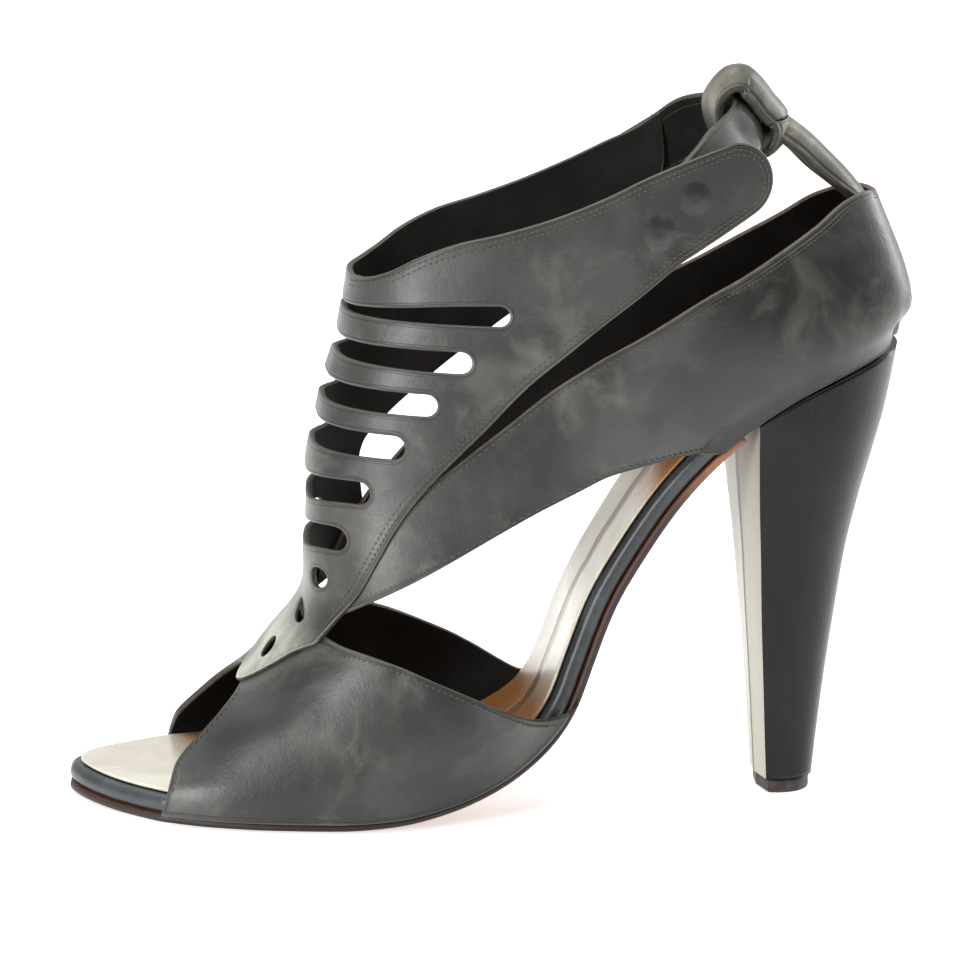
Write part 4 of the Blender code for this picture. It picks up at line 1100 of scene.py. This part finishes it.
def vamp():
    """Vamp between the peep toe and the throat."""
    peep = curve_through(PEEP_EDGE, 0.6)
    throat = curve_through(THROAT_EDGE, 0.8)
    peep, throat = (
        line[line[:, 1] < np.interp(line[:, 0], VAMP.first, VAMP.points[:, int(VAMP.second[-1]), 2]) - 0.05]
        for line in (peep, throat))
    peep = peep[peep[:, 1] > np.interp(peep[:, 0], BED_X, BED_Z)]
    peep_side = np.stack([peep[:, 0], over_length(peep[:, 0], peep[:, 1])], 1)
    throat_side = np.stack([throat[:, 0], over_length(throat[:, 0], throat[:, 1])], 1)
    bottom_x = np.arange(peep[0, 0] + 0.5, throat[-1, 0], 1.0)
    bottom = np.stack([bottom_x, over_length(bottom_x, np.interp(bottom_x, BED_X, BED_Z))], 1)
    half = np.vstack([peep_side[::-1], bottom, throat_side[::-1]])
    outer = np.vstack([half, (half * (1, -1))[::-1]])
    # Painted shade where the strap's holes look down on the vamp.
    eyes = np.array(EYES)
    hole_shade_spots = place(CAGE.at(eyes[1:, :2], np.zeros(len(eyes) - 1))[0])
    skin = leather("vamp_leather_skin", eyes=[tuple(spot) for spot in hole_shade_spots])
    piece, loops = leather_piece(
        "vamp_leather", VAMP, outer, [], 0.0, WALL, [skin, LINING, EDGE], relief=vamp_relief)
    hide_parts("upper")

    def on_edges(p):
        low = np.interp(p[:, 0], bottom[:, 0], bottom[:, 1])
        off_crown = (p[:, 1] < VAMP_OFF_CROWN[0]) | (p[:, 1] > VAMP_OFF_CROWN[1])
        return off_crown & (np.abs(p[:, 1]) < low - VAMP_SEWN_TO) & (p[:, 0] < throat[-1, 0] - 3)

    for i, row in enumerate(along_edge(loops[0], VAMP_ROW, on_edges)):
        stitches(f"vamp_stitches_{i}", VAMP, row, STITCH_PITCH, WALL)


def ribbon_surface(points):
    """Surface along a strap: points is a grid of rows along it and columns across, both evenly spaced."""
    rows, columns, _ = points.shape
    length = np.sum(np.linalg.norm(np.diff(points[:, columns // 2], axis=0), axis=1))
    width = np.sum(np.linalg.norm(np.diff(points[rows // 2], axis=0), axis=1))
    surface = Surface(np.linspace(0, length, rows), np.linspace(0, width, columns), points, lead=0)
    return surface, length, width


def ankle_strap():
    """Strap from the medial wing, up through the back loop and down under the tab."""
    rows = np.array(BAND, float)
    path = curve_through(rows[:, [0, 2, 1, 3, 4]], 0.8)[:-4]
    across = np.linspace(0, 1, 16)
    top, bottom = path[:, [2, 0, 1]], path[:, [3, 0, 4]]
    grid = top[:, None, :] * (1 - across)[None, :, None] + bottom[:, None, :] * across[None, :, None]
    share = np.clip((13 - np.abs(top[:, 1])) / 5, 0, 1)
    out = np.stack([top[:, 2] - bottom[:, 2], np.zeros(len(top)), bottom[:, 0] - top[:, 0]], 1)
    out *= (BAND_BULGE * share * share * (3 - 2 * share) / np.linalg.norm(out, axis=1))[:, None]
    grid += out[:, None, :] * (4 * across * (1 - across))[None, :, None]
    surface, length, width = ribbon_surface(grid)
    outer = np.array([(0, 0), (length, 0), (length, width), (0, width)], float)
    piece, _ = leather_piece(
        "ankle_strap", surface, outer, [], -BAND_WALL / 2, BAND_WALL, [BAND_LEATHER, LINING, EDGE],
        spacing=1.3)
    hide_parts("upper")
    for i, offset in enumerate((BAND_ROW, width - BAND_ROW)):
        path = np.array([(1.0, offset), (length - 1.0, offset)])
        stitches(f"strap_stitches_{i}", surface, path, STITCH_PITCH, -BAND_WALL / 2)


def arched_grid(path, half, closed):
    """Grid of a strap along a path of x, z, arch share, with its edges dropped below the crest."""
    if closed:
        along = np.roll(path, -1, axis=0) - np.roll(path, 1, axis=0)
    else:
        along = np.gradient(path, axis=0)
    size = np.hypot(along[:, 0], along[:, 1])
    out = np.stack([along[:, 1] / size, -along[:, 0] / size], 1)
    across = np.linspace(-1, 1, 31)
    fall = 1 - np.sqrt(1 - (ARCH_ROUND * across[None, :]) ** 2)
    drop = TAIL_ARCH * path[:, 2:3] * fall / fall.max()
    grid = np.zeros((len(path), len(across), 3))
    grid[:, :, 0] = path[:, 0:1] - out[:, 0:1] * drop
    grid[:, :, 1] = across[None, :] * half
    grid[:, :, 2] = path[:, 1:2] - out[:, 1:2] * drop
    return grid


def back_strap():
    """Strap from inside the counter and its fold round the ankle strap."""
    for name, rows, half, closed in (
        ("back_strap_tail", TAIL, TAIL_HALF_WIDTH, False), ("back_strap_loop", LOOP, LOOP_HALF_WIDTH, True),
    ):
        path = curve_through(rows, 0.6, closed)
        grid = arched_grid(path, half, closed)
        if closed:
            grid = np.concatenate([grid, grid[:1]])
        surface, length, width = ribbon_surface(grid)
        lip = 0.02 if closed else 0.0
        outer = np.array([(lip, 0), (length - lip, 0), (length - lip, width), (lip, width)], float)
        piece, _ = leather_piece(
            name, surface, outer, [], -BACK_STRAP_WALL / 2, BACK_STRAP_WALL,
            [STRAP_LEATHER, STRAP_LEATHER, EDGE], spacing=1.1)
        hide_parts("back_strap")


def sole_surface():
    """Surface over the board's underside: along it and across the foot."""
    length = run_over(BED_X, BED_Z)
    along = np.arange(0, length[-1], 1.0)
    across = np.arange(-42.0, 43.0)
    x, z = np.interp(along, length, BED_X), np.interp(along, length, BED_Z)
    points = np.zeros((len(along), len(across), 3))
    points[:, :, 0], points[:, :, 1], points[:, :, 2] = x[:, None], across[None, :], z[:, None]
    return Surface(along, across, points), length


SOLE, SOLE_LENGTH = sole_surface()


def sole_outline(x_from, x_to, less):
    """Outline of the board from x_from to x_to, moved in by less, as across the foot and along the bed."""
    share = np.linspace(0, 1, 260)
    x = x_from + (x_to - x_from) * (0.25 * (1 - np.cos(share * math.pi / 2)) + 0.75 * share) ** 1.6
    half = np.clip(board_half_width(x), 0.05, None)
    along = np.interp(x, BED_X, SOLE_LENGTH)
    loop = np.vstack([np.column_stack([half, along]), np.column_stack([-half, along])[::-1]])
    loop = spaced(loop, 0.9)
    moved = inset(loop, less)
    return moved[segment_distance(moved, [loop]) > 0.98 * less] if less else loop


def sole_layer(name, outer, low, high, rounding, material):
    """A layer of the sole between two heights above the board's underside, with rounded edges."""
    flat, faces, edge, _ = flat_pattern(outer, [], 2.6, edge_step=0.9)
    soft = np.clip(edge / rounding, 0, 1)
    rise = (high - low) / 2 * np.sqrt(1 - (1 - soft) ** 2)
    middle = (high + low) / 2
    top, under = SOLE.at(flat, middle + rise)[0], SOLE.at(flat, middle - rise)[0]
    reach = np.clip(board_half_width(np.interp(flat[:, 1], SOLE_LENGTH, BED_X)), 1, None)
    return two_sided(name, top, under, faces, [material], edge, across=flat[:, 0] / reach)


def sole():
    """Outsole, insole board and sock lining."""
    low = BOARD + GAP
    board = sole_outline(*BOARD_SPAN, 0.0)
    pieces = (
        ("outsole", "outsole_leather", sole_layer(
            "outsole_leather", sole_outline(BOARD_SPAN[0], OUTSOLE_END, GAP), -GAP - OUTSOLE, -GAP, 0.5,
            sole_material())),
        ("insole_board", "rim_leather", sole_layer("insole_rim", board, 0.0, BOARD, 2.2, rim_material())),
        ("sock_lining", "sock_leather", sole_layer(
            "sock_foil", sole_outline(*BOARD_SPAN, SOCK_INSET), low, low + SOCK, 0.4, sock_material())),
    )
    for node, slot, piece in pieces:
        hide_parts(node)


def heel_section(z, less=0.0, count=72):
    """Outline x, v of the heel at height z: flat breast with a ridge, round sides and back."""
    half = smooth(HEEL, z) - less
    breast, back = smooth(HEEL, z, 2) + less, smooth(HEEL, z, 3) - less
    u = (1 - np.cos(np.linspace(0, math.pi, count // 2))) / 2
    swell = BREAST_NARROWING + (1 - BREAST_NARROWING) * np.clip(u / HEEL_WIDEST, 0, 1)
    behind = np.clip(u - HEEL_WIDEST, 0, None) / (1 - HEEL_WIDEST)
    round_off = np.sqrt(np.clip(1 - behind ** HEEL_ROUNDNESS, 0, 1))
    x = breast + BREAST_RIDGE + u * (back - breast - BREAST_RIDGE)
    v = half * swell * round_off
    face = np.array([(breast, 0.0), (breast + 0.08, 0.05 * v[0]), (breast + 0.5 * BREAST_RIDGE, 0.5 * v[0])])
    face = np.vstack([face, [(x[0] - 0.15, v[0] - BREAST_CORNER), (x[0], v[0] - 0.12)]])
    side = np.stack([x, v], 1)[1:]
    half_line = np.vstack([face, side])
    return np.vstack([half_line, (half_line * (1, -1))[-2:0:-1]])


def heel():
    """Covered heel up to the slope of the seat, and its tip."""
    levels = np.linspace(0, 1, 90)
    count = len(heel_section(50.0))
    low = TIP + GAP
    tops = np.full(count, 100.0)
    for _ in range(12):
        x = np.array([heel_section(z)[j, 0] for j, z in enumerate(tops)])
        seat = np.interp(x, BED_X, BED_Z - GAP * BED_NZ)
        seat = np.where(x > BED_X[-1], seat + (x - BED_X[-1]) * SEAT_SLOPE, seat)
        tops = 0.5 * tops + 0.5 * seat
    verts = np.zeros((len(levels), count, 3))
    for i, t in enumerate(levels):
        z = low + (tops - low) * t
        for j in range(count):
            x, v = heel_section(z[j])[j]
            verts[i, j] = (x, v, z[j])
    piece = make_piece(
        "heel_cover", place(verts.reshape(-1, 3)), tube_faces(len(levels), count), [heel_material()])
    on_breast = np.full(count, 2.0)
    on_breast[:5] = (0.0, 0.05, 0.5, 0.95, 1.0)
    on_breast[-4:] = on_breast[4:0:-1]
    add_values(piece.data, "breast", np.tile(on_breast, len(levels)))
    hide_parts("heel")
    rings = [(0.0, 0.5), (0.25, 0.12), (0.6, 0.0), (TIP - 0.6, 0.0), (TIP - 0.2, 0.1), (TIP, 0.4)]
    verts = np.vstack([
        np.column_stack([heel_section(0.0, TIP_INSET + more), np.full(count, z)]) for z, more in rings])
    tip = make_piece("heel_top_piece", place(verts), tube_faces(len(rings), count), [tip_material()])
    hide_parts("heel_tip")


# Camera at the photograph's angle
YAW, ELEVATION, ROLL = math.radians(7.0), math.radians(12.5), math.radians(1.2)
DISTANCE = 1.4
TARGET = Vector((-0.0009, 0.0030, 0.0760))
FIELD = 0.2376             # width that the picture shows at the target
SENSOR = 36
FLOOR_REACH = 8.0


def camera():
    forward = Vector((
        math.sin(YAW) * math.cos(ELEVATION), math.cos(YAW) * math.cos(ELEVATION), -math.sin(ELEVATION)))
    right = Vector((math.cos(YAW), -math.sin(YAW), 0))
    up = right.cross(forward)
    turned_right = right * math.cos(ROLL) + up * math.sin(ROLL)
    turned_up = up * math.cos(ROLL) - right * math.sin(ROLL)
    data = bpy.data.cameras.new("camera")
    data.sensor_width = SENSOR
    data.lens = SENSOR * DISTANCE / FIELD
    data.clip_end = 20
    made = bpy.data.objects.new("camera", data)
    bpy.context.scene.collection.objects.link(made)
    place_at = TARGET - forward * DISTANCE
    made.matrix_world = Matrix((
        (turned_right.x, turned_up.x, -forward.x, place_at.x),
        (turned_right.y, turned_up.y, -forward.y, place_at.y),
        (turned_right.z, turned_up.z, -forward.z, place_at.z),
        (0, 0, 0, 1),
    ))
    bpy.context.scene.camera = made


def lamp(name, spot, aim, size, power):
    """A soft rectangular light at spot that faces aim."""
    data = bpy.data.lights.new(name, "AREA")
    data.shape = "RECTANGLE"
    data.size, data.size_y = size
    data.energy = power
    made = bpy.data.objects.new(name, data)
    made.location = spot
    made.rotation_euler = (Vector(aim) - Vector(spot)).to_track_quat("-Z", "Y").to_euler()
    bpy.context.scene.collection.objects.link(made)


def studio():
    """Pale floor, white surroundings and soft lamps."""
    floor_mesh = bpy.data.meshes.new("floor")
    corners = [(x * FLOOR_REACH, y * FLOOR_REACH, 0) for x, y in ((-1, -1), (1, -1), (1, 1), (-1, 1))]
    floor_mesh.from_pydata(corners, [], [(0, 1, 2, 3)])
    floor = bpy.data.objects.new("floor", floor_mesh)
    bpy.context.scene.collection.objects.link(floor)
    s = Shader("floor")
    s.set(Base_Color=(0.9, 0.9, 0.9, 1), Roughness=1.0, Specular_IOR_Level=0.0, Emission_Color=(1, 1, 1, 1),
          Emission_Strength=0.55)
    floor_mesh.materials.append(s.material)
    sky = Shader("studio", bpy.data.worlds.new("studio"), "Background", "Generated")
    behind = sky.span(sky.axis("Y"), -0.35, 0.55, 0.12, 0.80)
    above = sky.span(sky.axis("Z"), 0.35, 0.9, 0.0, 0.55)
    sky.set(Color=(1, 1, 1, 1), Strength=sky.maths("ADD", behind, above))
    bpy.context.scene.world = sky.material
    bpy.context.scene.view_settings.view_transform = "Standard"
    lamp("key", (-1.0, -1.0, 0.42), (0, 0, 0.09), (0.26, 0.9), 17)
    lamp("top", (-0.1, -0.1, 1.3), (0, 0, 0.08), (1.2, 0.8), 11)
    lamp("back", (1.1, 0.5, 0.5), (0, 0, 0.09), (0.25, 0.9), 10)


camera()
studio()
sole()
heel()
vamp()
cage()
quarter()
ankle_strap()
back_strap()
